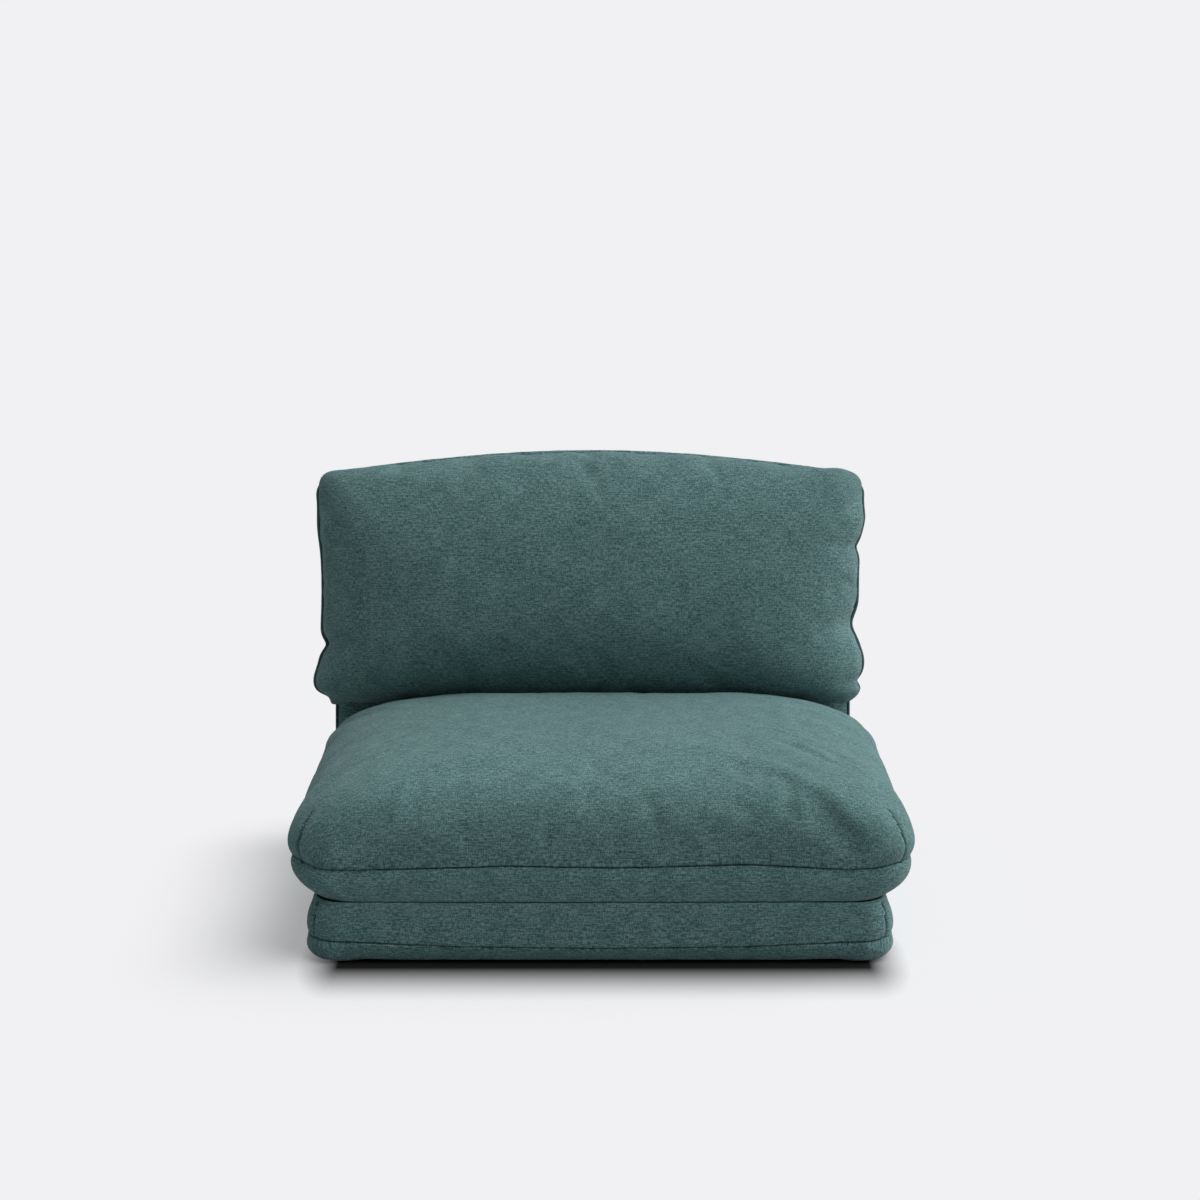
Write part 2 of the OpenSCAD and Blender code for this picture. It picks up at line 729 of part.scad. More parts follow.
// Back section, drawn lying down: Y runs up the back and Z towards the front
back_corner = 44;
back_seam = back_pad - back_edge_round;
module in_back() {
    translate([0, pivot_y, pivot_z]) rotate([90 - lean, 0, 0]) children();
}
function back_level(z, inset, r) =
    level(outline(back_half_width - inset, -back_foot + inset, back_length - inset, r), z);
function back_band_rings(t) = [
    back_level(-tube_up, t + 2, back_corner - t), back_level(-tube_up + 5, t, back_corner - t),
    back_level(back_seam, t, back_corner - t)
];
function back_front_rings(t) = [
    back_level(back_seam, t, back_corner - t),
    back_level(back_pad - 0.3 * back_edge_round - t / 2, t + 0.3 * back_edge_round, back_corner - t),
    back_level(back_pad - t, t + back_edge_round, back_corner - t)
];

// Pockets in the back's lower edge, which the hinges turn in
notch_rear_to = cheek_r + notch_clear;
notch_front_to = norm(pawl_pos) + pawl_boss + notch_clear;
module back_notches() {
    low = -back_foot - 1;
    for (side = [-1, 1]) translate([side * tube_side - notch_half, low, 0]) {
        translate([0, 0, -tube_up - 1]) cube([2 * notch_half, notch_rear_to - low, tube_up + back_pad + 2]);
        cube([2 * notch_half, notch_front_to - low, back_pad + 1]);
    }
}
module back_front_panel() {
    color(teal) in_back() difference() {
        panel_shell(back_front_rings(0), back_front_rings(cloth));
        back_notches();
    }
}
module back_side_band() {
    color(teal) in_back() difference() {
        band_shell(back_band_rings(0), back_band_rings(cloth));
        back_notches();
    }
}
back_zip_y = notch_front_to + zip_tape / 2 + 8;
module back_rear_cloth() {
    edge_in = inner + 2;
    points = outline(back_half_width - edge_in, -back_foot + edge_in, back_length - edge_in,
                     back_corner - inner);
    color(teal) in_back() difference() {
        translate([0, 0, -tube_up]) base_plate(points, back_zip_y);
        back_notches();
    }
}
back_tube_top = back_length - tube_front;
back_cross_y = back_zip_y + zip_tape / 2 + tube_r + 10;
back_strap_ys = share_out(back_cross_y + tube_r, back_tube_top - tube_bend, 3);
back_rivet_ys = [for (p = rivet_places) back_tube_low + p];
module back_frame_bow() {
    color(steel_black) in_back() difference() {
        bow(back_tube_low, back_tube_top, -1);
        rivet_bores(back_rivet_ys);
    }
}
module back_frame_rivets() {
    color(steel_zinc) in_back() tube_rivets(back_rivet_ys);
}
module back_frame_cross_tube() {
    color(steel_black) in_back() cross_tube(back_cross_y);
}
module back_elastic_straps() {
    color(strap_grey) in_back() for (y = back_strap_ys) translate([0, y, 0]) strap();
}
module back_foam_pad() {
    pad_in = inner + 8;
    color(foam_cream) in_back() difference() {
        translate([0, (back_length - back_foot) / 2, frame_room])
            linear_extrude(back_pad - inner - 1 - frame_room)
                rounded(2 * (back_half_width - pad_in), back_length + back_foot - 2 * pad_in, back_corner);
        back_notches();
    }
}
module back_zip_chain() {
    color(zip_black) in_back() translate([0, back_zip_y, -tube_up]) zip_chain();
}
module back_zip_slider() {
    color(steel_zinc) in_back() translate([0, back_zip_y, -tube_up]) zip_slider();
}

// Pillow, drawn lying on the back panel
pillow_seam = back_pad + soft_gap + 0.2 + pillow_rear;
pillow_corner = 30;
pillow_reach = pillow_height / 2;
pillow_front_shares = [0, 0.04, 0.12, 0.27, 0.5, 0.8];
pillow_rear_reach = 76;
pillow_rear_shares = [0, 0.18, 0.52, 1];
function pillow_front_full(share) = fullness(share, 1, 2.6, 0.5);

// The pillow's lower end comes from the seat's crown, which its belly stands on
function seat_top(y) =
    seat_base_z + seat_bulge + seat_full(max(0, rear_y - y) / seat_rear_share);
function pillow_rest(low) = max([
    for (share = pillow_front_shares)
        let (
            up = share * pillow_reach * (1 - pillow_slump),
            out = pillow_seam + pillow_front * pillow_front_full(share),
            y = pivot_y + (low + up) * sin(lean) - out * cos(lean)
        )
        (seat_top(y) + pillow_gap - pivot_z - out * sin(lean)) / cos(lean) - up
]);
pillow_low = pillow_rest(pillow_rest(pillow_corner));
function pillow_ring(t, i, slump, z) =
    let (
        low = pillow_low + t + i * (1 - slump),
        high = pillow_low + pillow_height - t - i
    )
    level(outline(pillow_half_width - t - i, low, high, min(pillow_corner + 0.35 * i, (high - low) / 2 - 8),
                  max(0, pillow_waist - i / 6), -pillow_bow * min(1.4, 1 + i / 40)), z);
function pillow_front_rings(t) = [
    for (share = pillow_front_shares)
        pillow_ring(t, share * pillow_reach, pillow_slump,
                    pillow_seam + (pillow_front - (share > 0 ? t : 0)) * pillow_front_full(share))
];
function pillow_rear_rings(t) = [
    for (share = pillow_rear_shares)
        let (f = fullness(share, 1, 2, 0.7))
        pillow_ring(t, share * pillow_rear_reach, 0, (pillow_rear - (share > 0 ? t : 0)) * f - pillow_seam)
];
module pillow_front_panel() {
    color(teal) in_back() panel_shell(pillow_front_rings(0), pillow_front_rings(cloth));
}
module pillow_rear_panel() {
    color(teal) in_back() mirror([0, 0, 1]) panel_shell(pillow_rear_rings(0), pillow_rear_rings(cloth));
}
module pillow_filling() {
    rear = pillow_rear_rings(inner + 3);
    turned = [for (k = [len(rear) - 1 : -1 : 1]) [for (p = rear[k]) [p[0], p[1], -p[2]]]];
    color(fibre_white) in_back() form(concat(turned, pillow_front_rings(inner)));
}

// Round piping that follows the pillow's seam
piping_sides = 6;
module pillow_piping() {
    path = pillow_ring(-piping / 2 - soft_gap, 0, 0, pillow_seam);
    n = len(path);
    points = [
        for (i = [0 : n - 1])
            let (d = path[(i + 1) % n] - path[(i + n - 1) % n], out = [d[1], -d[0], 0] / norm(d))
            for (k = [0 : piping_sides - 1])
                let (a = 360 * k / piping_sides)
                path[i] + piping / 2 * (cos(a) * out + sin(a) * [0, 0, 1])
    ];
    faces = [
        for (i = [0 : n - 1], k = [0 : piping_sides - 1])
            let (
                next = (k + 1) % piping_sides, here = i * piping_sides,
                there = (i + 1) % n * piping_sides
            )
            each [[here + k, here + next, there + next], [here + k, there + next, there + k]]
    ];
    color(teal_dark) in_back() polyhedron(points, faces, convexity = 6);
}

seat_top_panel();
seat_side_band();
seat_base_cloth();
seat_wadding();
seat_foam_slab();
seat_frame_bow();
seat_frame_cross_tubes();
seat_elastic_straps();
seat_frame_rivets();
seat_zip_chain();
seat_zip_slider();
hinge_cheeks(-1);  // hinge_cheeks_left
hinge_cheeks(1);  // hinge_cheeks_right
hinge_rivet(-1);  // hinge_rivet_left
hinge_rivet(1);  // hinge_rivet_right
pawl(-1);  // pawl_left
pawl(1);  // pawl_right
pawl_pin(-1);  // pawl_pin_left
pawl_pin(1);  // pawl_pin_right
pawl_spring(-1);  // pawl_spring_left
pawl_spring(1);  // pawl_spring_right
front_fold_cord();
rear_fold_strip();
foot_plush_panel();
foot_side_band();
foot_base_cloth();
foot_wadding();
foot_foam_slab();
foot_zip_chain();
foot_zip_slider();
back_front_panel();
back_side_band();
back_rear_cloth();
back_foam_pad();
back_frame_bow();
back_frame_cross_tube();
back_elastic_straps();
back_frame_rivets();
back_zip_chain();
back_zip_slider();
back_hinge_arm(-1);  // back_hinge_arm_left
back_hinge_arm(1);  // back_hinge_arm_right
pillow_front_panel();
pillow_rear_panel();
pillow_filling();
pillow_piping();
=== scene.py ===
"""Looks of a fold-out floor armchair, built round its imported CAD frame.

The chair is a plush seat section on a foot section that is folded under it, with a
reclining back panel and a loose-filled back pillow, all in one teal chine cloth. Every
piece is in metres in the frame of the CAD model and rides on one of its bodies.
"""

import json
import logging
import math
from dataclasses import dataclass, replace
from enum import Enum
from functools import reduce
from typing import Callable, Sequence

import bmesh
import bpy
import numpy as np
from mathutils import Matrix, Vector, noise
from mathutils.kdtree import KDTree

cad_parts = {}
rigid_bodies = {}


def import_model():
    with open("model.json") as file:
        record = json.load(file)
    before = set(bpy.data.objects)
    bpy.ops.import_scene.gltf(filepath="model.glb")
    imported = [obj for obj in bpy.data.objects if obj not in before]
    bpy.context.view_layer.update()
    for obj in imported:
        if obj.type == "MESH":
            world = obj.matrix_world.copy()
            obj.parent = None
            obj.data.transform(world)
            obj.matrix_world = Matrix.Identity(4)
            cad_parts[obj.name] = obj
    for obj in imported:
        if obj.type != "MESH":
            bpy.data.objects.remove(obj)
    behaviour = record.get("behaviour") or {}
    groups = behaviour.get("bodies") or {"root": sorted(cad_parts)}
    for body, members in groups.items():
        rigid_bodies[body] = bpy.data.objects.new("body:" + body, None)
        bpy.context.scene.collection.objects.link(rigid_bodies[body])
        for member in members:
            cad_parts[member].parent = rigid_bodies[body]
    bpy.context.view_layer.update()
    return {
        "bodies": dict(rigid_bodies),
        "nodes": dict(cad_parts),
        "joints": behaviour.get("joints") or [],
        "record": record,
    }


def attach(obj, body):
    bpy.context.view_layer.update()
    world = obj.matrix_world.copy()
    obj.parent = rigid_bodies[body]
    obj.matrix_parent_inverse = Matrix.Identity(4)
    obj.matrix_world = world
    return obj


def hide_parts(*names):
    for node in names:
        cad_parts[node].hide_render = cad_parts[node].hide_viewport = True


LOG = logging.getLogger("armchair")
MM = 0.001
WEAVE_MAP = "weave"
SEAM_MARK = "seam_line"
# Vertex layer by which shade is painted into the cloth's colour along the seam grooves
SHADE_MARK = "seam_shade"

# Lines of the CAD model that pieces are set by
SEAT_DEPTH = 660 * MM
SEAT_BASE_Z = 94.3 * MM
FOLD_Y, FOLD_Z, FOLD_HALF = -330 * MM, 94 * MM, 354 * MM
PIVOT_Y, PIVOT_Z = 372 * MM, 110.4 * MM
BACK_LEAN = math.radians(10)
PLUSH_FRONT = 329.7 * MM


class Body(str, Enum):
    """CAD bodies that the cloth pieces ride on."""

    SEAT = "seat_section"
    FOOT = "foot_section"
    BACK = "back_section"


class Slot(str, Enum):
    """Names of the record's material slots for cloth."""

    COVER = "cover_cloth"
    SEAM = "seam_cloth"
    BASE = "base_cloth"


class Side(Enum):
    """Sides of a cushion in plan, in the order that its perimeter runs."""

    LOW = 0
    RIGHT = 1
    HIGH = 2
    LEFT = 3


class Part(Enum):
    """Cloth pieces that a cushion's cover is sewn from."""

    PANEL = 0
    BAND = 1
    BASE = 2


# Shapes in plan


@dataclass(frozen=True)
class Level:
    """One closed level of a cushion: a rounded rectangle at a height.

    Attributes:
        half: Half of its width along X.
        low: Its low end along Y.
        high: Its high end along Y.
        corner: Radius of its corners.
        z: Its height.
        side_bow: How far its sides draw in at their middles.
        high_bow: How far its high end stands out at its middle.
        shift: How far it stands to the side along X.
        pull: How far its low end is drawn out, with its yarns where they were.
    """

    half: float
    low: float
    high: float
    corner: float
    z: float
    side_bow: float = 0.0
    high_bow: float = 0.0
    shift: float = 0.0
    pull: float = 0.0

    def inset(self, by: float, rise: float = 0.0) -> "Level":
        """Gives this level drawn in all round and raised."""
        return replace(self, half=self.half - by, low=self.low + by, high=self.high - by,
                       corner=self.corner - by, z=self.z + rise)

    def spots(self, side: Side, share: np.ndarray) -> np.ndarray:
        """Gives places along one side as rows of three numbers."""
        x, y, _ = self.trace(side, share)
        return np.stack(np.broadcast_arrays(x, y, self.z), 1)

    def trace(self, side: Side, share: np.ndarray) -> tuple[np.ndarray, np.ndarray, np.ndarray]:
        """Finds points along one side, from the middle of one corner to the next.

        Args:
            side: Side to follow.
            share: Shares of the way along it, from 0 to 1, in the sense of rising X or Y.

        Returns:
            X, Y, and how square each point is to its side, from 1 down to 0.5 at a corner.
        """
        deep = (self.high - self.low) / 2
        flat = max((self.half if side in (Side.LOW, Side.HIGH) else deep) - self.corner, 0.0)
        total = 2 * flat + math.pi * self.corner / 2
        run = share * total - total / 2
        angle = np.clip((np.abs(run) - flat) / max(self.corner, 1e-6), 0, math.pi / 4)
        along = np.sign(run) * (np.minimum(np.abs(run), flat) + self.corner * np.sin(angle))
        inward = self.corner * (1 - np.cos(angle))
        bow = np.where(np.abs(run) < flat, np.cos(np.pi * run / max(2 * flat, 1e-6)), 0.0)
        square = 1 - 0.5 * angle / (math.pi / 4)
        middle = (self.low + self.high) / 2
        if side is Side.LOW:
            return along + self.shift, self.low + inward, square
        if side is Side.HIGH:
            return along + self.shift, self.high - inward + self.high_bow * bow, square
        edge = self.half - inward - self.side_bow * bow
        return (edge if side is Side.RIGHT else -edge) + self.shift, middle + along, square


@dataclass(frozen=True)
class Crown:
    """Rise of a stuffed panel from its seam.

    Attributes:
        reach: Inset at which the crown is fully risen.
        rise: Height that it rises.
        power: How fast it rises, as an exponent.
        root: How round its shoulder is, as an exponent.
        lip: How far the panel bulges out over its seam.
        lip_rise: Height between the seam and the widest bulge.
    """

    reach: float
    rise: float
    power: float
    root: float
    lip: float
    lip_rise: float

    def line(self, to: float, rings: int) -> tuple[np.ndarray, np.ndarray, np.ndarray]:
        """Spaces rings evenly along the panel's profile.

        Args:
            to: Inset of the last ring.
            rings: Count of rings after the seam's own.

        Returns:
            Insets, heights over the seam and the cloth's spare length over its plan,
            one for each ring from the seam inwards.
        """
        turn = np.linspace(0, math.pi / 2, 24, endpoint=False)
        lip_in = self.lip * (1 - np.sin(turn))
        lip_up = self.lip_rise * (1 - np.cos(turn))
        inset = to * np.linspace(0, 1, 900) ** 2
        full = 1 - (1 - np.minimum(inset / self.reach, 1)) ** self.power
        inset = np.concatenate([lip_in, inset])
        height = np.concatenate([lip_up, self.lip_rise + self.rise * full**self.root])
        inset[: len(turn)] *= -1
        step = np.hypot(np.diff(inset), np.diff(height))
        run = np.concatenate([[0], np.cumsum(step)])
        even = np.linspace(0, run[-1], rings + 1)
        plan = np.interp(even, run, inset)
        return plan, np.interp(even, run, height), (run[-1] - even) - (to - plan)


def place_panel(
    bm: bmesh.types.BMesh, counts: tuple[int, int], levels: Sequence[Level], spare: np.ndarray
) -> dict[tuple[int, int], bmesh.types.BMVert]:
    """Lays a grid of cloth over rings of levels, with its yarns unrolled in its map.

    Args:
        bm: Mesh that takes the panel.
        counts: Cells along X and Y.
        levels: One level for each ring, from the seam to the middle.
        spare: Cloth's spare length over its plan at each ring.

    Returns:
        The panel's vertices by their places in the grid.
    """
    nx, ny = counts
    made = bmesh.ops.create_grid(bm, x_segments=nx, y_segments=ny, size=1.0)["verts"]
    flat = np.array([v.co for v in made])
    i = np.rint((flat[:, 0] + 1) / 2 * nx).astype(int)
    j = np.rint((flat[:, 1] + 1) / 2 * ny).astype(int)
    ring = np.minimum(np.minimum(i, nx - i), np.minimum(j, ny - j))
    spot = np.zeros((len(made), 3))
    yarn = np.zeros((len(made), 2))
    for k, level in enumerate(levels):
        for side, mask, num, den in (
            (Side.LOW, j == k, i - k, nx - 2 * k),
            (Side.HIGH, j == ny - k, i - k, nx - 2 * k),
            (Side.LEFT, i == k, j - k, ny - 2 * k),
            (Side.RIGHT, i == nx - k, j - k, ny - 2 * k),
        ):
            pick = mask & (ring == k)
            if not pick.any():
                continue
            x, y, square = level.trace(side, num[pick] / max(den, 1))
            spot[pick] = np.stack([x, y, np.full_like(x, level.z)], 1)
            upright = side in (Side.LOW, Side.HIGH)
            over_y, over_x = (square, 1 - square) if upright else (1 - square, square)
            sense = np.where(j[pick] < ny / 2, -1.0, 1.0)
            drawn = level.pull * (1 - (j[pick] - k) / max(ny - 2 * k, 1))
            yarn[pick, 0] = x + np.sign(x - level.shift) * spare[k] * over_x
            yarn[pick, 1] = y + drawn + sense * spare[k] * over_y
    yarn_x, yarn_y = bm.verts.layers.float["yarn_x"], bm.verts.layers.float["yarn_y"]
    found = {}
    for n, v in enumerate(made):
        v.co = spot[n]
        v[yarn_x], v[yarn_y] = yarn[n]
        found[(int(i[n]), int(j[n]))] = v
    return found


class Border:
    """The closed edge of a panel's grid, which rows of band are drawn down from."""

    def __init__(self, counts: tuple[int, int]) -> None:
        """Lists the edge's places anticlockwise from the grid's first corner.

        Args:
            counts: Cells along X and Y.
        """
        nx, ny = counts
        low = [((i, 0), Side.LOW, i / nx) for i in range(nx)]
        right = [((nx, j), Side.RIGHT, j / ny) for j in range(ny)]
        high = [((i, ny), Side.HIGH, i / nx) for i in range(nx, 0, -1)]
        left = [((0, j), Side.LEFT, j / ny) for j in range(ny, 0, -1)]
        self.places = low + right + high + left

    def points(self, level: Level) -> np.ndarray:
        """Gives the edge's points on a level."""
        out = np.zeros((len(self.places), 3))
        for side in Side:
            pick = [n for n, place in enumerate(self.places) if place[1] is side]
            out[pick] = level.spots(side, np.array([self.places[n][2] for n in pick]))
        return out


def draw_rows(
    bm: bmesh.types.BMesh, ring: list[bmesh.types.BMVert], rows: Sequence[np.ndarray], part: Part
) -> list[bmesh.types.BMVert]:
    """Extrudes a closed ring of vertices through rows of points.

    Args:
        bm: Mesh that holds the ring.
        ring: The ring's vertices in order.
        rows: Points of each new row, in the ring's order.
        part: Cloth piece that the new faces belong to.

    Returns:
        The last row's vertices in order.
    """
    mark, seam = bm.faces.layers.int["part"], bm.edges.layers.int[SEAM_MARK]
    along, down, hold = (bm.verts.layers.float[name] for name in ("along", "down", "hold"))
    for row in rows:
        edges = [bm.edges.get((ring[n - 1], ring[n])) for n in range(len(ring))]
        made = bmesh.ops.extrude_edge_only(bm, edges=edges)["geom"]
        fresh = {v for v in made if isinstance(v, bmesh.types.BMVert)}
        for item in made:
            if isinstance(item, bmesh.types.BMFace):
                item[mark] = part.value
            elif isinstance(item, bmesh.types.BMEdge):
                item[seam] = 0
        after = []
        for n, vert in enumerate(ring):
            twin = next(e.other_vert(vert) for e in vert.link_edges if e.other_vert(vert) in fresh)
            twin.co = row[n]
            twin[along] = vert[along]
            twin[down] = vert[down] + (Vector(row[n]) - vert.co).length
            twin[hold] = 0.0
            after.append(twin)
        ring = after
    return ring


def start_cover() -> bmesh.types.BMesh:
    """Makes an empty mesh with the layers that a cover is mapped by."""
    bm = bmesh.new()
    for name in ("yarn_x", "yarn_y", "along", "down", "hold", SHADE_MARK):
        bm.verts.layers.float.new(name)
    bm.faces.layers.int.new("part")
    bm.edges.layers.int.new(SEAM_MARK)
    bm.loops.layers.uv.new(WEAVE_MAP)
    return bm


def measure_along(bm: bmesh.types.BMesh, ring: list[bmesh.types.BMVert]) -> float:
    """Writes each ring vertex's distance along the ring.

    Args:
        bm: Mesh that holds the ring.
        ring: The ring's vertices in order.

    Returns:
        The ring's whole length.
    """
    along = bm.verts.layers.float["along"]
    total = 0.0
    for n, vert in enumerate(ring):
        vert[along] = total
        total += (ring[(n + 1) % len(ring)].co - vert.co).length
    return total


def map_weave(bm: bmesh.types.BMesh, around: float) -> None:
    """Writes the weave's map: panels by their yarns, bands by their length and depth.

    Args:
        bm: Mesh of the cover.
        around: Length of the seam, where the band's map wraps round.
    """
    layers = bm.verts.layers.float
    yarn_x, yarn_y, along, down = (layers[n] for n in ("yarn_x", "yarn_y", "along", "down"))
    mark = bm.faces.layers.int["part"]
    uv = bm.loops.layers.uv[WEAVE_MAP]
    for face in bm.faces:
        if face[mark] == Part.PANEL.value:
            for loop in face.loops:
                loop[uv].uv = (loop.vert[yarn_x], loop.vert[yarn_y])
            continue
        if face[mark] == Part.BASE.value:
            for loop in face.loops:
                loop[uv].uv = loop.vert.co.xy
            continue
        reach = [loop.vert[along] for loop in face.loops]
        wraps = max(reach) - min(reach) > around / 2
        for loop, u in zip(face.loops, reach):
            u += around if wraps and u < around / 2 else 0.0
            loop[uv].uv = (u, -loop.vert[down])


# Meshes and simulation


def put_in_order(bm: bmesh.types.BMesh) -> None:
    """Orders edges and faces by their vertices, since the operators' order varies from run to run."""
    bm.verts.index_update()
    count = float(len(bm.verts))
    for items in (bm.edges, bm.faces):
        items.sort(key=lambda item: reduce(
            lambda key, n: key * count + n, sorted(v.index for v in item.verts)[:3], 0.0
        ))
        items.index_update()


def to_object(bm: bmesh.types.BMesh, name: str) -> bpy.types.Object:
    """Closes a mesh build into a smooth-shaded object at the origin."""
    put_in_order(bm)
    mesh = bpy.data.meshes.new(name)
    bm.to_mesh(mesh)
    bm.free()
    mesh.shade_smooth()
    piece = bpy.data.objects.new(name, mesh)
    bpy.context.scene.collection.objects.link(piece)
    return piece


def points_of(mesh: bpy.types.Mesh) -> np.ndarray:
    """Reads a mesh's vertices as rows of three numbers."""
    out = np.zeros(len(mesh.vertices) * 3, np.float32)
    mesh.vertices.foreach_get("co", out)
    return out.reshape(-1, 3).astype(float)


def set_points(mesh: bpy.types.Mesh, points: np.ndarray) -> None:
    """Writes a mesh's vertices from rows of three numbers."""
    mesh.vertices.foreach_set("co", points.astype(np.float32).ravel())
    mesh.update()


def bake(piece: bpy.types.Object) -> None:
    """Applies a piece's modifiers to its mesh."""
    graph = bpy.context.evaluated_depsgraph_get()
    baked = bpy.data.meshes.new_from_object(
        piece.evaluated_get(graph), preserve_all_data_layers=True, depsgraph=graph
    )
    piece.modifiers.clear()
    piece.data = baked


def even_out(mesh: bpy.types.Mesh, values: np.ndarray, rounds: int) -> np.ndarray:
    """Averages values over a mesh's neighbouring vertices, again and again.

    Args:
        mesh: The mesh.
        values: One value for each vertex.
        rounds: How often they are averaged.

    Returns:
        The evened values.
    """
    ends = np.zeros(len(mesh.edges) * 2, np.int32)
    mesh.edges.foreach_get("vertices", ends)
    a, b = ends.reshape(-1, 2).T
    count = len(values)
    near = np.maximum(np.bincount(a, minlength=count) + np.bincount(b, minlength=count), 1)
    for _ in range(rounds):
        total = np.bincount(a, values[b], count) + np.bincount(b, values[a], count)
        values = 0.5 * values + 0.5 * total / near
    return values


@dataclass(frozen=True)
class Puff:
    """How a cover is inflated as cloth.

    Attributes:
        pressure: Pressure inside it.
        slack: Share by which the cloth is larger than its shape.
        cap: Farthest that a point may move.
        frames: Frames to run.
        bending: Stiffness of its folds.
        regain: Share of its even swelling that is taken back.
    """

    pressure: float = 4.0
    slack: float = 0.03
    cap: float = 0.024
    frames: int = 20
    bending: float = 0.5
    regain: float = 0.9

    def blow(self, piece: bpy.types.Object) -> None:
        """Runs the cloth and keeps its last shape in the mesh.

        Args:
            piece: Cover with a hold layer, whose held points stay where they are.
        """
        rest, out = points_of(piece.data), normals_of(piece.data)
        hold = np.zeros(len(rest), np.float32)
        piece.data.attributes["hold"].data.foreach_get("value", hold)
        group = piece.vertex_groups.new(name="held")
        for weight in np.unique(hold):
            if weight > 0:
                group.add(np.flatnonzero(hold == weight).tolist(), float(weight), "REPLACE")
        cloth = piece.modifiers.new("Puff", "CLOTH")
        cloth.settings.quality = 5
        cloth.settings.mass = 0.25
        cloth.settings.tension_stiffness = 25
        cloth.settings.compression_stiffness = 25
        cloth.settings.shear_stiffness = 12
        cloth.settings.bending_stiffness = self.bending
        cloth.settings.air_damping = 4
        cloth.settings.use_pressure = True
        cloth.settings.uniform_pressure_force = self.pressure
        cloth.settings.shrink_min = -self.slack
        cloth.settings.vertex_group_mass = group.name
        cloth.settings.effector_weights.gravity = 0
        cloth.point_cache.frame_start = 1
        cloth.point_cache.frame_end = self.frames
        scene = bpy.context.scene
        for frame in range(1, self.frames + 1):
            scene.frame_set(frame)
        graph = bpy.context.evaluated_depsgraph_get()
        move = points_of(piece.evaluated_get(graph).data) - rest
        piece.modifiers.remove(cloth)
        scene.frame_set(1)
        swell = even_out(piece.data, (move * out).sum(1), 40)
        move -= out * (swell * self.regain)[:, None]
        length = np.linalg.norm(move, axis=1, keepdims=True)
        move *= self.cap * np.tanh(length / self.cap) / np.maximum(length, 1e-9)
        set_points(piece.data, rest + move)
        LOG.info("%s swelled by %.1f mm and moved by up to %.1f mm", piece.name,
                 1000 * float(swell.max()), 1000 * float(length.max()))


def smooth_finer(piece: bpy.types.Object, levels: int = 1) -> None:
    """Subdivides a piece's mesh, with rounding."""
    finer = piece.modifiers.new("Finer", "SUBSURF")
    finer.levels = finer.render_levels = levels
    bake(piece)


def sink_seam(
    bm: bmesh.types.BMesh, edges: list[bmesh.types.BMEdge], width: float, depth: float
) -> None:
    """Presses a sewn seam into a cover along a line of edges, and marks its groove for painted shade.

    Args:
        bm: Mesh of the cover.
        edges: The seam's edges.
        width: Width of the groove.
        depth: Its depth.
    """
    shade = bm.verts.layers.float[SHADE_MARK]
    line_edges = set(edges)
    line = list(dict.fromkeys(v for e in edges for v in e.verts))
    ends = [v for v in line if sum(o in line_edges for o in v.link_edges) == 1]
    spots, tips = KDTree(len(line)), KDTree(max(len(ends), 1))
    for n, vert in enumerate(line):
        spots.insert(vert.co, n)
    for n, vert in enumerate(ends):
        tips.insert(vert.co, n)
    spots.balance()
    tips.balance()
    normals = [vert.normal.copy() for vert in line]
    made = bmesh.ops.bevel(
        bm, geom=edges, offset=width / 2, offset_type="OFFSET", segments=2, profile=0.5,
        affect="EDGES", clamp_overlap=True, material=-1,
    )
    for vert in made["verts"]:
        _, nearest, gap = spots.find(vert.co)
        if gap > width / 4:
            continue
        ease = min(1.0, 0.25 + tips.find(vert.co)[2] / (6 * width)) if ends else 1.0
        vert.co -= normals[nearest] * depth * ease
        # Marks the groove where shade is painted into the cloth's colour.
        vert[shade] = ease


def cut_line(
    bm: bmesh.types.BMesh, point: Vector, normal: Vector, inside: Callable[[Vector], bool]
) -> list[bmesh.types.BMEdge]:
    """Cuts a line of edges into a cover where a plane crosses it.

    Args:
        bm: Mesh of the cover.
        point: A point of the plane.
        normal: The plane's normal.
        inside: Tells whether a face's middle is where the line runs.

    Returns:
        The line's edges.
    """
    faces = [f for f in bm.faces if inside(f.calc_center_median())]
    geom = dict.fromkeys(faces)
    for face in faces:
        geom.update(dict.fromkeys((*face.edges, *face.verts)))
    cut = bmesh.ops.bisect_plane(bm, geom=list(geom), dist=1e-5, plane_co=point, plane_no=normal)
    return [e for e in cut["geom_cut"] if isinstance(e, bmesh.types.BMEdge)]


@dataclass(frozen=True)
class Crease:
    """A soft fold or dent in a cover, along a straight run.

    Attributes:
        start: Where it starts.
        end: Where it runs out.
        width: Half of its width.
        depth: How deep it is, or how high where it is negative.
    """

    start: tuple[float, float, float]
    end: tuple[float, float, float]
    width: float
    depth: float

    def press(self, points: np.ndarray, normals: np.ndarray) -> np.ndarray:
        """Moves points along their normals where the fold runs.

        Args:
            points: Points of the cover.
            normals: Their normals.

        Returns:
            The moved points.
        """
        a, b = np.array(self.start), np.array(self.end)
        run = b - a
        share = np.clip((points - a) @ run / (run @ run), 0, 1)
        gap = np.linalg.norm(points - (a + share[:, None] * run), axis=1)
        fade = np.cos(share * math.pi / 2) ** 1.2
        amount = self.depth * fade * np.exp(-((gap / self.width) ** 2))
        return points - normals * amount[:, None]


def soften(
    points: np.ndarray, normals: np.ndarray, wave: float, amount: float, seed: float
) -> np.ndarray:
    """Moves points along their normals by smooth noise, as loose filling does.

    Args:
        points: Points of the cover.
        normals: Their normals.
        wave: Length of the noise's waves.
        amount: Farthest that it moves a point.
        seed: Picks the noise.

    Returns:
        The moved points.
    """
    shift = Vector((seed, 2 * seed, -seed))
    value = np.array([noise.noise(Vector(p) / wave + shift) for p in points])
    return points + normals * (amount * value)[:, None]


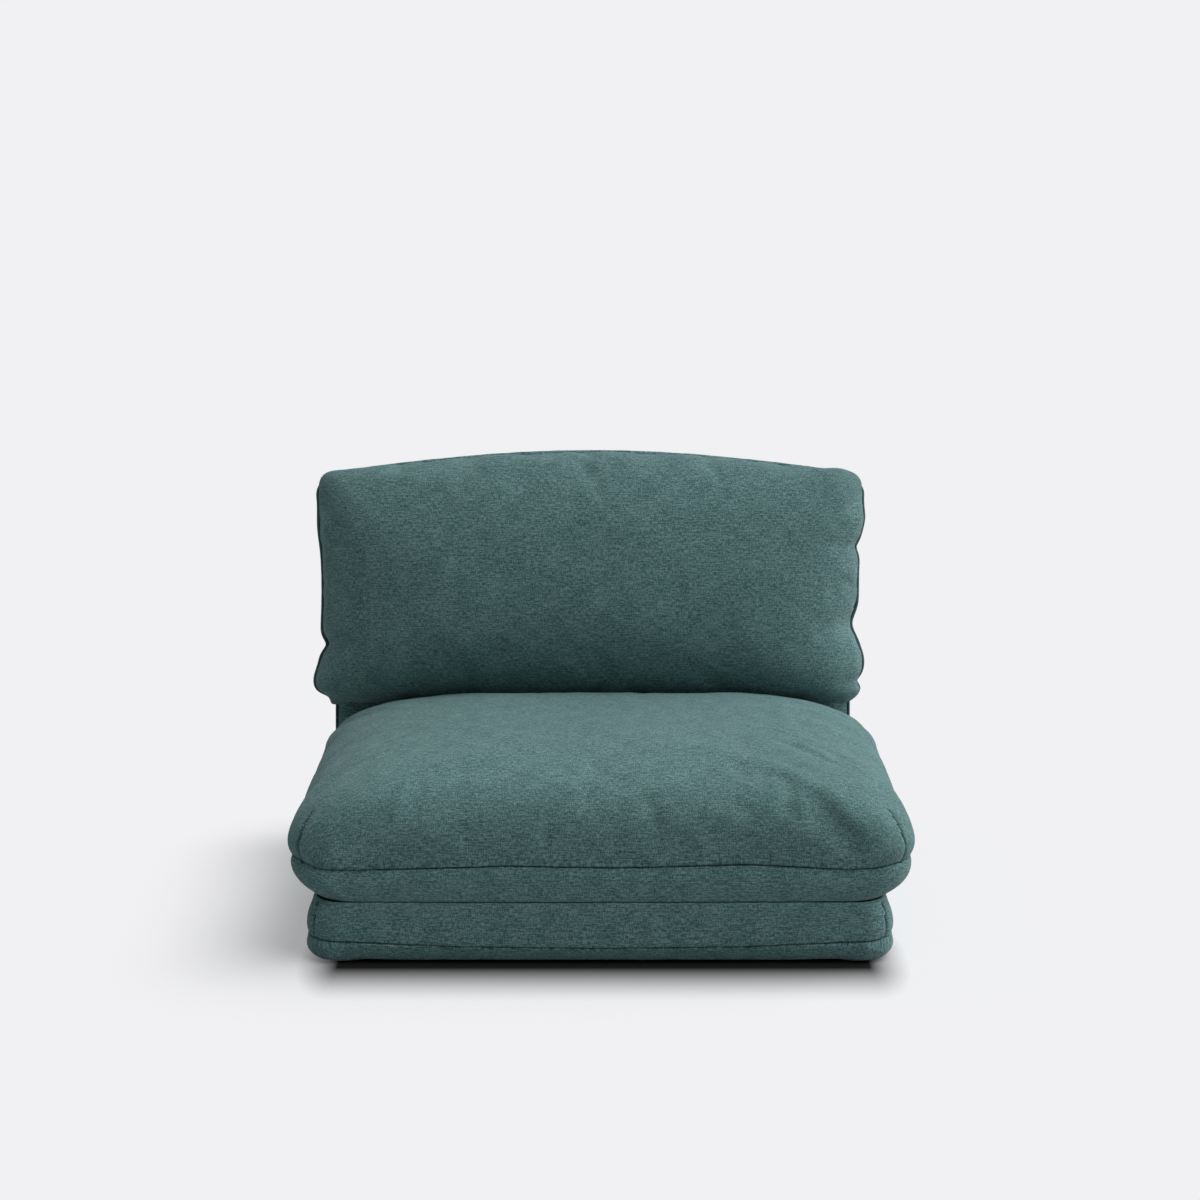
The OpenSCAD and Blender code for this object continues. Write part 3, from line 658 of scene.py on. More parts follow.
def normals_of(mesh: bpy.types.Mesh) -> np.ndarray:
    """Reads a mesh's vertex normals as rows of three numbers."""
    out = np.zeros(len(mesh.vertices) * 3, np.float32)
    mesh.vertex_normals.foreach_get("vector", out)
    return out.reshape(-1, 3).astype(float)


# Materials


class Graph:
    """A small helper that adds and links shader nodes."""

    def __init__(self, tree: bpy.types.NodeTree) -> None:
        """Keeps the node tree that it adds to."""
        self.tree = tree

    def add(self, kind: str, **values: object) -> bpy.types.Node:
        """Adds a node and sets its properties.

        Args:
            kind: The node's type without its ShaderNode prefix, or its full type.
            **values: Properties by name.

        Returns:
            The node.
        """
        full = kind if kind.startswith("Node") else "ShaderNode" + kind
        node = self.tree.nodes.new(full)
        for name, value in values.items():
            setattr(node, name, value)
        return node

    def put(self, socket: bpy.types.NodeSocket, value: object) -> None:
        """Links a socket's source into it, or sets its value."""
        if isinstance(value, bpy.types.NodeSocket):
            self.tree.links.new(value, socket)
        else:
            socket.default_value = value

    def math(self, operation: str, *values: object, clamp: bool = False) -> bpy.types.NodeSocket:
        """Adds a Math node.

        Args:
            operation: Its operation.
            *values: Its operands.
            clamp: Whether to clamp the result to 0 to 1.

        Returns:
            Its result.
        """
        node = self.add("Math", operation=operation, use_clamp=clamp)
        for socket, value in zip(node.inputs, values):
            self.put(socket, value)
        return node.outputs[0]

    def mix(self, share: object, a: object, b: object) -> bpy.types.NodeSocket:
        """Mixes a share of the second colour into the first."""
        node = self.add("Mix", data_type="RGBA")
        self.put(node.inputs[0], share)
        self.put(node.inputs[6], a)
        self.put(node.inputs[7], b)
        return node.outputs[2]

    def noise(self, vector: object, scale: float, detail: float = 2.0) -> bpy.types.NodeSocket:
        """Adds a Noise Texture and gives its value."""
        node = self.add("TexNoise")
        self.put(node.inputs["Vector"], vector)
        node.inputs["Scale"].default_value = scale
        node.inputs["Detail"].default_value = detail
        return node.outputs[0]

    def ramp(self, value: object, ends: tuple[float, float, float, float],
             ease: str = "LINEAR") -> bpy.types.NodeSocket:
        """Adds a Map Range node.

        Args:
            value: What it maps.
            ends: Low and high values that it maps from, and those that it maps to.
            ease: How it eases.

        Returns:
            The mapped value.
        """
        node = self.add("MapRange", interpolation_type=ease)
        self.put(node.inputs[0], value)
        for socket, end in zip(node.inputs[1:5], ends):
            socket.default_value = end
        return node.outputs[0]

    def bump(self, height: object, strength: float, distance: float) -> bpy.types.NodeSocket:
        """Adds a Bump node and gives its normal."""
        node = self.add("Bump")
        node.inputs["Strength"].default_value = strength
        node.inputs["Distance"].default_value = distance
        self.put(node.inputs["Height"], height)
        return node.outputs[0]

    def blend(self, share: object, *shaders: bpy.types.Node) -> bpy.types.Node:
        """Mixes a share of the second shader into the first."""
        node = self.add("MixShader")
        self.put(node.inputs[0], share)
        for socket, shader in zip(node.inputs[1:], shaders):
            self.put(socket, shader.outputs[0])
        return node

    def group(self, tree: bpy.types.NodeTree, **values: object) -> bpy.types.Node:
        """Places a node group, fills its inputs by name and gives its node."""
        node = self.add("Group", node_tree=tree)
        for name, value in values.items():
            self.put(node.inputs[name], value)
        return node


def new_group(
    name: str, ins: dict[str, str], outs: dict[str, str]
) -> tuple[Graph, bpy.types.Node, bpy.types.Node]:
    """Starts a shader node group.

    Args:
        name: Its name.
        ins: Socket types by input name.
        outs: Socket types by output name.

    Returns:
        A helper on it, its input node and its output node.
    """
    tree = bpy.data.node_groups.new(name, "ShaderNodeTree")
    for in_out, sockets in (("INPUT", ins), ("OUTPUT", outs)):
        for socket, kind in sockets.items():
            tree.interface.new_socket(name=socket, in_out=in_out, socket_type="NodeSocket" + kind)
    graph = Graph(tree)
    return graph, graph.add("NodeGroupInput"), graph.add("NodeGroupOutput")


def weave_group() -> bpy.types.NodeTree:
    """Builds the chine weave: slubs of lighter and darker yarn both ways, over a plain weave."""
    found = bpy.data.node_groups.get("Chine weave")
    if found:
        return found
    g, ins, outs = new_group(
        "Chine weave",
        {"Yarns": "Vector", "Dark": "Color", "Middle": "Color", "Light": "Color", "Slub": "Float",
         "Pitch": "Float"},
        {"Color": "Color", "Height": "Float", "Tone": "Float"},
    )
    yarns, pitch = ins.outputs["Yarns"], ins.outputs["Pitch"]
    sep = g.add("SeparateXYZ")
    g.put(sep.inputs[0], yarns)
    u, v = g.math("DIVIDE", sep.outputs[0], pitch), g.math("DIVIDE", sep.outputs[1], pitch)

    def stretched(a: object, b: object, along: float, scale: float) -> bpy.types.NodeSocket:
        """Noise in strokes along the first yarn count, one yarn wide in the second."""
        both = g.add("CombineXYZ")
        g.put(both.inputs[0], g.math("DIVIDE", a, along))
        g.put(both.inputs[1], b)
        return g.noise(both.outputs[0], scale, 1.0)

    tone = None
    for strokes, weight in (
        (stretched(u, v, 5.0, 1.2), 1.25),  # weft
        (stretched(v, u, 4.5, 1.2), 1.15),  # warp
        (stretched(u, v, 12.0, 0.75), 0.7),  # long slubs of the weft
        (g.noise(yarns, 28.0, 3.0), 0.3),  # soft clouds
    ):
        part = g.math("MULTIPLY", g.math("SUBTRACT", strokes, 0.5), weight)
        tone = part if tone is None else g.math("ADD", tone, part)
    tone = g.math("ADD", g.math("MULTIPLY", tone, ins.outputs["Slub"]), 0.5, clamp=True)
    darker = g.math("MULTIPLY", tone, 2.0, clamp=True)
    lower = g.mix(darker, ins.outputs["Dark"], ins.outputs["Middle"])
    upper = g.math("SUBTRACT", g.math("MULTIPLY", tone, 2.0), 1.0, clamp=True)
    g.put(outs.inputs["Color"], g.mix(upper, lower, ins.outputs["Light"]))
    g.put(outs.inputs["Tone"], tone)
    over = g.math("PINGPONG", g.math("ADD", g.math("FLOOR", u), g.math("FLOOR", v)), 1.0)
    round_u, round_v = (
        g.math("ABSOLUTE", g.math("SINE", g.math("MULTIPLY", count, math.pi))) for count in (u, v)
    )
    picked = g.math("ADD", g.math("MULTIPLY", round_u, over),
                    g.math("MULTIPLY", round_v, g.math("SUBTRACT", 1.0, over)))
    g.put(outs.inputs["Height"], g.math("ADD", picked, g.math("MULTIPLY", tone, 1.2)))
    return g.tree


def fresh_material(name: str) -> tuple[bpy.types.Material, Graph, bpy.types.Node]:
    """Starts a material with one shader.

    Args:
        name: Its name.

    Returns:
        The material, a helper on its nodes and its shader.
    """
    material = bpy.data.materials.new(name)
    material.use_nodes = True
    graph = Graph(material.node_tree)
    return material, graph, material.node_tree.nodes["Principled BSDF"]


@dataclass(frozen=True)
class ClothFinish:
    """A woven upholstery cloth.

    Attributes:
        name: The material's name.
        dark: Colour of its darkest yarns.
        middle: Colour of most yarns.
        light: Colour of its lightest slubs.
        slub: How much the yarns differ.
        pitch: Distance between yarns.
        sheen: Amount of soft sheen.
        relief: Height of the weave.
    """

    name: str
    dark: tuple[float, float, float]
    middle: tuple[float, float, float]
    light: tuple[float, float, float]
    slub: float = 1.75
    pitch: float = 1.6 * MM
    sheen: float = 0.22
    relief: float = 0.45 * MM

    def material(self) -> bpy.types.Material:
        """Builds the material once and gives it again afterwards."""
        found = bpy.data.materials.get(self.name)
        if found:
            return found
        material, g, shader = fresh_material(self.name)
        yarns = g.add("UVMap", uv_map=WEAVE_MAP).outputs[0]
        weave = g.group(
            weave_group(), Yarns=yarns, Dark=(*self.dark, 1), Middle=(*self.middle, 1),
            Light=(*self.light, 1), Slub=self.slub, Pitch=self.pitch,
        )
        # Painted shade: the cloth's colour is darkened along the seam grooves.
        seam = g.add("Attribute", attribute_name=SHADE_MARK).outputs["Fac"]
        shade = g.math("MULTIPLY", seam, 0.8, clamp=True)
        dark = (*(0.25 * c for c in self.dark), 1)
        g.put(shader.inputs["Base Color"], g.mix(shade, weave.outputs["Color"], dark))
        gloss = g.math("MULTIPLY", weave.outputs["Tone"], 0.12)
        g.put(shader.inputs["Roughness"], g.math("SUBTRACT", 0.95, gloss))
        shader.inputs["Sheen Weight"].default_value = self.sheen
        shader.inputs["Sheen Roughness"].default_value = 0.45
        shader.inputs["Sheen Tint"].default_value = (0.75, 0.95, 0.95, 1)
        shader.inputs["Specular IOR Level"].default_value = 0.2
        g.put(shader.inputs["Normal"], g.bump(weave.outputs["Height"], 0.6, self.relief))
        return material


COVER_CLOTH = ClothFinish("chine_teal", (0.045, 0.108, 0.11), (0.098, 0.2, 0.2), (0.2, 0.33, 0.33))
# A darker copy of the cover cloth: painted shade for the welts, the fold cord and the fold strip.
SHADED_WELT_CLOTH = ClothFinish(
    "chine_teal_welt_shaded", (0.03, 0.075, 0.078), (0.062, 0.13, 0.132), (0.12, 0.21, 0.21), sheen=0.12,
)
BASE_CLOTH = ClothFinish(
    "base_black", (0.012, 0.013, 0.014), (0.024, 0.025, 0.027), (0.05, 0.052, 0.055),
    slub=0.6, pitch=1.1 * MM, sheen=0.05, relief=0.3 * MM,
)


# Cushions


def hinge_frame() -> Matrix:
    """Gives the back section's own frame: up the panel along Y, out of its front along Z."""
    return Matrix((
        (1, 0, 0, 0),
        (0, math.sin(BACK_LEAN), -math.cos(BACK_LEAN), PIVOT_Y),
        (0, math.cos(BACK_LEAN), math.sin(BACK_LEAN), PIVOT_Z),
        (0, 0, 0, 1),
    ))


@dataclass(frozen=True)
class Pattern:
    """Levels that a cover is drawn through.

    Attributes:
        counts: Cells of its panel along X and Y.
        panel: One level for each ring of its panel, from the seam to the middle.
        spare: Cloth's spare length over its plan at each of those rings.
        band: Levels of its band, below the seam.
        hem: Levels of the hem turned in under it.
    """

    counts: tuple[int, int]
    panel: list[Level]
    spare: np.ndarray
    band: list[Level]
    hem: list[Level]


@dataclass
class Cushion:
    """An upholstered piece: a stuffed cover that stands for its soft CAD solids.

    Attributes:
        name: Name of its piece.
        body: Body that it rides on.
        stands_for: CAD nodes that it replaces.
        cell: Size of its cloth's cells before it is smoothed.
        fill: How tight it is, from 0 to 1; not used.
        puff: How it is inflated.
        lip: How deep the seam is drawn in.
        groove: Width and depth of the seam's own groove.
        hem: How far its hem is turned in.
    """

    name: str
    body: Body
    stands_for: tuple[str, ...]
    cell: float
    fill: float
    puff: Puff
    lip: float
    groove: tuple[float, float] = (3.2 * MM, 4.2 * MM)
    hem: float = 3 * MM

    def pattern(self) -> Pattern:
        """Gives the levels that the cover is drawn through."""
        raise NotImplementedError

    def shape(self, points: np.ndarray, normals: np.ndarray) -> np.ndarray:
        """Gives the inflated cover its own folds and flats.

        Args:
            points: Its points, in the cushion's own frame.
            normals: Their normals.

        Returns:
            The moved points.
        """
        return points

    def placed(self) -> Matrix:
        """Gives the move from the cushion's own frame to the world."""
        return hinge_frame() if self.body is Body.BACK else Matrix.Identity(4)

    def to_world(self, points: np.ndarray) -> np.ndarray:
        """Moves points from the cushion's own frame to the world."""
        move = self.placed()
        return np.array([move @ Vector(p) for p in points])

    def hold_at(self, point: Vector) -> float:
        """Tells how firmly a point keeps its place as the cover is inflated."""
        return 0.0

    def close(self, bm: bmesh.types.BMesh) -> None:
        """Closes the cover's open side with one flat face."""
        open_edges = [e for e in bm.edges if e.is_boundary]
        if open_edges:
            bmesh.ops.contextual_create(bm, geom=open_edges)

    def lay_seamed(
        self, bm: bmesh.types.BMesh, counts: tuple[int, int], levels: Sequence[Level], spare: np.ndarray
    ) -> tuple[list[bmesh.types.BMVert], float]:
        """Lays the main panel, whose edge is sewn and keeps its place.

        Args:
            bm: Mesh that takes the panel.
            counts: Cells along X and Y.
            levels: One level for each ring, from the seam to the middle.
            spare: Cloth's spare length over its plan at each ring.

        Returns:
            The edge's vertices in order and the length round it.
        """
        grid = place_panel(bm, counts, levels, spare)
        ring = [grid[place[0]] for place in Border(counts).places]
        around = measure_along(bm, ring)
        mark, hold = bm.edges.layers.int[SEAM_MARK], bm.verts.layers.float["hold"]
        for n, vert in enumerate(ring):
            bm.edges.get((ring[n - 1], vert))[mark] = 1
            vert[hold] = 1.0
        return ring, around

    def start(self) -> tuple[bmesh.types.BMesh, float]:
        """Draws the cover's panel, band and hem.

        Returns:
            The mesh, open below, and the length round its seam.
        """
        bm = start_cover()
        pattern = self.pattern()
        ring, around = self.lay_seamed(bm, pattern.counts, pattern.panel, pattern.spare)
        border, hold = Border(pattern.counts), bm.verts.layers.float["hold"]
        low = draw_rows(bm, ring, [border.points(level) for level in pattern.band], Part.BAND)
        last = draw_rows(bm, low, [border.points(level) for level in pattern.hem], Part.BASE)
        for vert in bm.verts:
            vert[hold] = max(vert[hold], self.hold_at(vert.co))
        for vert in last:
            vert[hold] = 1.0
        return bm, around

    def build(self) -> bpy.types.Object:
        """Builds the cover: drawn, inflated, shaped, smoothed and sewn.

        Returns:
            The finished piece.
        """
        bm, around = self.start()
        map_weave(bm, around)
        bmesh.ops.recalc_face_normals(bm, faces=bm.faces)
        piece = to_object(bm, self.name)
        self.puff.blow(piece)
        set_points(piece.data, self.shape(points_of(piece.data), normals_of(piece.data)))
        smooth_finer(piece)
        self.sew(piece, *self.groove)
        self.finish_shape(piece)
        return self.dress(piece)

    def finish_shape(self, piece: bpy.types.Object) -> None:
        """Does the last work on a sewn cover, where there is any."""

    def sew(self, piece: bpy.types.Object, width: float, depth: float) -> None:
        """Sinks the marked seams of a smoothed cover, closes it and puts it in its place.

        Args:
            piece: The cover.
            width: Width of a seam's groove.
            depth: Its depth.
        """
        bm = bmesh.new()
        bm.from_mesh(piece.data)
        bm.verts.ensure_lookup_table()
        mark = bm.edges.layers.int[SEAM_MARK]
        sink_seam(bm, [e for e in bm.edges if e[mark] == 1], width, depth)
        self.add_seams(bm)
        self.close(bm)
        bmesh.ops.transform(bm, matrix=self.placed(), verts=bm.verts)
        bmesh.ops.recalc_face_normals(bm, faces=bm.faces)
        put_in_order(bm)
        bm.to_mesh(piece.data)
        bm.free()
        piece.data.shade_smooth()

    def add_seams(self, bm: bmesh.types.BMesh) -> None:
        """Cuts a cover's further seams, where it has any."""

    def dress(self, piece: bpy.types.Object) -> bpy.types.Object:
        """Args:
            piece: The cover.

        Returns:
            The same cover.
        """
        if not piece.data.materials:
            piece.data.materials.append(COVER_CLOTH.material())
        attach(piece, self.body.value)
        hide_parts(*self.stands_for)
        LOG.info("%s: %d faces", piece.name, len(piece.data.polygons))
        return piece


def pucker(
    points: np.ndarray, normals: np.ndarray, away: np.ndarray, reach: float, amount: float,
    wave: float = 20 * MM,
) -> np.ndarray:
    """Puckers a cover beside a seam, less and less away from it.

    Args:
        points: Points of the cover.
        normals: Their normals.
        away: Their distances from the seam.
        reach: Distance over which the puckers die out.
        amount: Height of the puckers.
        wave: Length of one pucker.

    Returns:
        The moved points.
    """
    near = np.flatnonzero(away < 3 * reach)
    out = points.copy()
    for n in near:
        value = noise.noise(Vector((points[n][0], points[n][1], points[n][2] * 0.35)) / wave)
        fade = math.exp(-((away[n] / reach) ** 2)) * min(1.0, 0.25 + away[n] / (0.35 * reach))
        out[n] += normals[n] * (amount * value * fade)
    return out


@dataclass(frozen=True)
class SeamRun:
    """How a level seam rises and falls along a cushion's front.

    Attributes:
        level: Height of the seam.
        places: Places along X.
        lifts: How far it is lifted at each of them.
        reach: Height over which the cloth beside it follows.
    """

    level: float
    places: tuple[float, ...]
    lifts: tuple[float, ...]
    reach: float

    def lift(self, points: np.ndarray) -> np.ndarray:
        """Moves points up and down with the seam.

        Args:
            points: Points of the cover.

        Returns:
            The moved points.
        """
        front = np.interp(points[:, 0], self.places, self.lifts)
        side = np.array([3 * MM * noise.noise(Vector((p[0], p[1], 0)) / 0.12) for p in points])
        share = np.clip((points[:, 1] + 0.31) / 0.08, 0, 1)
        near = np.exp(-(((points[:, 2] - self.level) / self.reach) ** 2))
        out = points.copy()
        out[:, 2] += (front * (1 - share) + side * share) * near
        return out


def below(values: np.ndarray, limit: float, ease: float = 3 * MM) -> np.ndarray:
    """Keeps values under a limit, with a soft approach to it."""
    return limit - ease * np.logaddexp(0.0, (limit - values) / ease)


def nested(outline: Level, rings: int) -> list[Level]:
    """Gives flat levels nested from an outline to its middle.

    Args:
        outline: The outline.
        rings: Count of rings after the outline's own.

    Returns:
        The levels, from the outline inwards.
    """
    deep = (outline.high - outline.low) / 2
    out = []
    for k in range(rings + 1):
        share = k / rings
        by = deep * share
        corner = max(0.0, min(outline.corner * (1 - share), outline.half - by, deep - by))
        out.append(replace(outline.inset(by), corner=corner))
    return out


def undercut(up: float, seam_up: float, lip: float) -> tuple[float, float, float]:
    """Gives how a band is drawn in below its seam.

    Args:
        up: Height over the base.
        seam_up: The seam's height over it.
        lip: How far the seam is nipped in.

    Returns:
        The share that it is drawn in by, its nip under the seam and its tuck at the base.
    """
    under = max(0.0, 1 - up / seam_up)
    nip = lip * max(0.0, 1 - (seam_up - up) / (0.35 * seam_up)) ** 2
    return under**2.5, nip, 2.1 * MM * under**6


@dataclass
class BoxCushion(Cushion):
    """A cushion of one crowned panel over a band, with a hem turned in under it.

    Attributes:
        half: Half of its width.
        corner: Radius of its corners.
        profile: Rough length of the panel's profile, from the seam to the middle.
        seam_up: Height of its seam over its base.
        rows: Rows of the band as shares of that height, down to its lower edge.
    """

    half: float = 0.0
    corner: float = 0.0
    profile: float = 0.0
    seam_up: float = 0.0
    rows: tuple[float, ...] = ()

    def crowned(self) -> tuple[Crown, float]:
        """Gives the panel's crown and the inset at its middle."""
        raise NotImplementedError

    def panel_level(self, inset: float, side: float, up: float) -> Level:
        """Gives the panel's outline at one ring.

        Args:
            inset: Its inset from the seam, negative in the lip.
            side: Its inset at the sides.
            up: Its height over the seam.

        Returns:
            The outline.
        """
        raise NotImplementedError

    def band_level(self, up: float) -> Level:
        """Gives the band's outline at a height."""
        raise NotImplementedError

    def row_heights(self) -> list[float]:
        """Gives the heights of the band's rows, down to its lower edge."""
        return [share * self.seam_up for share in self.rows]

    def closing(self) -> Level:
        """Gives the outline of the base cloth that closes the cover inside of its hem."""
        edge = self.band_level(self.row_heights()[-1])
        return replace(edge.inset(self.hem + 0.4 * MM, 0.1 * MM), side_bow=0.0)

    def side_insets(self, insets: np.ndarray) -> np.ndarray:
        """Gives the insets at the panel's sides from those at its ends."""
        return insets

    def corner_at(self, inset: float, growth: float, half: float, low: float, high: float) -> float:
        """Gives the radius of a ring's corners.

        Args:
            inset: The ring's inset.
            growth: How fast the radius grows with it.
            half: Half of the ring's width.
            low: The ring's low end.
            high: Its high end.

        Returns:
            The radius.
        """
        return min(self.corner + growth * inset, 0.94 * min(half, (high - low) / 2))

    def pattern(self) -> Pattern:
        """Gives the levels that the cover is drawn through."""
        crown, last = self.crowned()
        rings = int(self.profile / self.cell)
        inset, up, spare = crown.line(last - 1 * MM, rings)
        side = self.side_insets(inset)
        across = int(round(2 * (self.half - side[-1]) / self.cell))
        levels = [self.panel_level(float(i), float(s), float(u)) for i, s, u in zip(inset, side, up)]
        band = [self.band_level(up) for up in self.row_heights()]
        hem = [band[-1].inset(self.hem), band[-1].inset(self.hem, self.hem)]
        return Pattern((2 * rings + across, 2 * rings), levels, spare, band, hem)


@dataclass
class SeatSection(BoxCushion):
    """The plush seat section: a crowned top panel over a band that is drawn in below.

    Attributes:
        depth: Its depth.
        base_z: Height of its base.
        bulge_up: Height over the base at which its sides are widest.
        crown: How far its middle stands over that.
        draw: How far the band is drawn in at the base.
        rear_share: How fast the panel's rear end closes in, against its front end.
        rear_taper: Share by which it narrows towards its top rear edge.
        bow: How far its sides draw in at their middles.
        shift: How far it is shifted along X.
        front_ease: How far its front stays clear of its depth's end.
        front_full: How full its front shoulder is.
        front_reach: Inset over which that fades.
        side_turn: Inset from which its sides close in slower than its ends.
        rear_limit: Farthest that its rear reaches along Y.
        dart_in: How far its darts stand in from its sides.
        run_x: Places of the seam's rises and falls along X.
        run_z: How far it rises at each.
    """

    name: str = "seat_cover"
    body: Body = Body.SEAT
    stands_for: tuple[str, ...] = ("seat_top_panel", "seat_side_band", "seat_wadding", "seat_foam_slab")
    cell: float = 10 * MM
    fill: float = 0.8
    puff: Puff = Puff(cap=0.009, slack=0.012, bending=2.0)
    lip: float = 5 * MM
    half: float = 454 * MM
    profile: float = 540 * MM
    depth: float = SEAT_DEPTH
    base_z: float = SEAT_BASE_Z
    seam_up: float = 50 * MM
    bulge_up: float = 72 * MM
    crown: float = 118 * MM
    draw: float = 38 * MM
    rear_share: float = 0.85
    rear_taper: float = 0.045
    corner: float = 62 * MM
    bow: float = 4 * MM
    shift: float = 2 * MM
    front_ease: float = 0.8 * MM
    front_full: float = 0.72
    front_reach: float = 0.135
    side_turn: float = 200 * MM
    rear_limit: float = 331.5 * MM
    dart_in: float = 18 * MM
    rows: tuple[float, ...] = (0.9, 0.76, 0.6, 0.44, 0.28, 0.14, 0.05, 0.0)
    run_x: tuple[float, ...] = (-0.44, -0.40, -0.36, -0.25, -0.13, 0.03, 0.21, 0.36, 0.40, 0.44)
    run_z: tuple[float, ...] = (0.009, -0.003, -0.004, -0.001, 0.003, 0.0, 0.005, -0.003, 0.0, 0.006)

    def band_level(self, up: float) -> Level:
        """Gives the band's outline at a height over the base."""
        draw, nip, tuck = undercut(up, self.seam_up, self.lip)
        tuck = self.front_ease + tuck
        return Level(
            self.half - 3 * MM - self.draw * draw - nip, -self.depth / 2 + tuck + nip,
            self.depth / 2 - 8 * MM * draw - nip, self.corner, self.base_z + up, self.bow, shift=self.shift,
        )

    def crowned(self) -> tuple[Crown, float]:
        """Gives the panel's crown and the inset at its middle."""
        crown = Crown(self.depth / 2, self.crown, 3, 0.55, self.lip, self.bulge_up - self.seam_up)
        return crown, self.depth / (1 + self.rear_share)

    def side_insets(self, insets: np.ndarray) -> np.ndarray:
        """Gives the insets at the panel's sides, which reach its middle later than its ends do."""
        turn, last = self.side_turn, self.crowned()[1]
        slower = turn + (insets - turn) * (self.depth / 2 - turn) / (last - turn)
        return np.where(insets < turn, insets, slower)

    def panel_level(self, inset: float, side: float, up: float) -> Level:
        """Gives the panel's outline at one ring, drawn out at the front."""
        inset, lip = max(inset, 0.0), -min(inset, 0.0)
        pull = self.front_full * inset * math.exp(-((inset / self.front_reach) ** 2))
        low = -self.depth / 2 + self.front_ease + inset + lip - pull
        high = self.depth / 2 - self.rear_share * inset - lip
        half = self.half - max(side, 0) - lip - 3 * MM * (1 - min(1, up / 0.03))
        return Level(half, low, high, self.corner_at(inset, 0.4, half, low, high),
                     self.base_z + self.seam_up + up, self.bow * max(0, 1 - inset / 0.1),
                     shift=self.shift, pull=pull)

    def hold_at(self, point: Vector) -> float:
        """Tells how firmly a point keeps its place as the cover is inflated."""
        return 1.0 if point.z < self.base_z + 0.2 * self.seam_up else 0.0

    def shape(self, points: np.ndarray, normals: np.ndarray) -> np.ndarray:
        """Gives the seat its puckers and flattens the faces that meet other sections."""
        seam_z = self.base_z + self.seam_up
        points = soften(points, normals, 0.16, 3 * MM, 3.0)
        points = pucker(points, normals, np.abs(points[:, 2] - seam_z), 22 * MM, 2.0 * MM)
        points = SeamRun(seam_z, self.run_x, self.run_z, 24 * MM).lift(points)
        rear = np.clip(points[:, 1] / (self.depth / 2), 0, 1) ** 2
        rear *= np.clip((points[:, 2] - seam_z) / 0.06, 0, 1)
        points[:, 0] *= 1 - self.rear_taper * rear
        points[:, 1] = -below(-points[:, 1], PLUSH_FRONT, 1 * MM)
        points[:, 1] = below(points[:, 1], self.rear_limit, 1 * MM)
        points[:, 2] = np.maximum(points[:, 2], self.base_z)
        return points

    def add_seams(self, bm: bmesh.types.BMesh) -> None:
        """Cuts the darts that box the top panel's front corners."""
        level = self.base_z + self.seam_up
        for side in (-1, 1):
            x, y = side * (self.half - self.dart_in) + self.shift, -self.depth / 2 + self.dart_in
            cut_dart(bm, Vector((x, y, 0)), side, level + 1 * MM, level + 78 * MM)


def cut_dart(
    bm: bmesh.types.BMesh, corner: Vector, side: int, low: float, high: float,
    reach: float = 60 * MM, groove: tuple[float, float] = (2.4 * MM, 3.0 * MM),
) -> None:
    """Cuts and sinks an upright seam down a front corner.

    Args:
        bm: Mesh of the cover.
        corner: Where the corner is in plan.
        side: 1 for the corner at high X, -1 for the other.
        low: Height that it starts at.
        high: Height that it ends at.
        reach: How far from the corner it is looked for.
        groove: Width and depth of its groove.
    """
    def inside(spot: Vector) -> bool:
        """Tells whether the seam runs by a face's middle."""
        return low < spot.z < high and (spot.xy - corner.xy).length < reach

    line = cut_line(bm, corner, Vector((1, side, 0)).normalized(), inside)
    bm.normal_update()
    if line:
        sink_seam(bm, line, *groove)


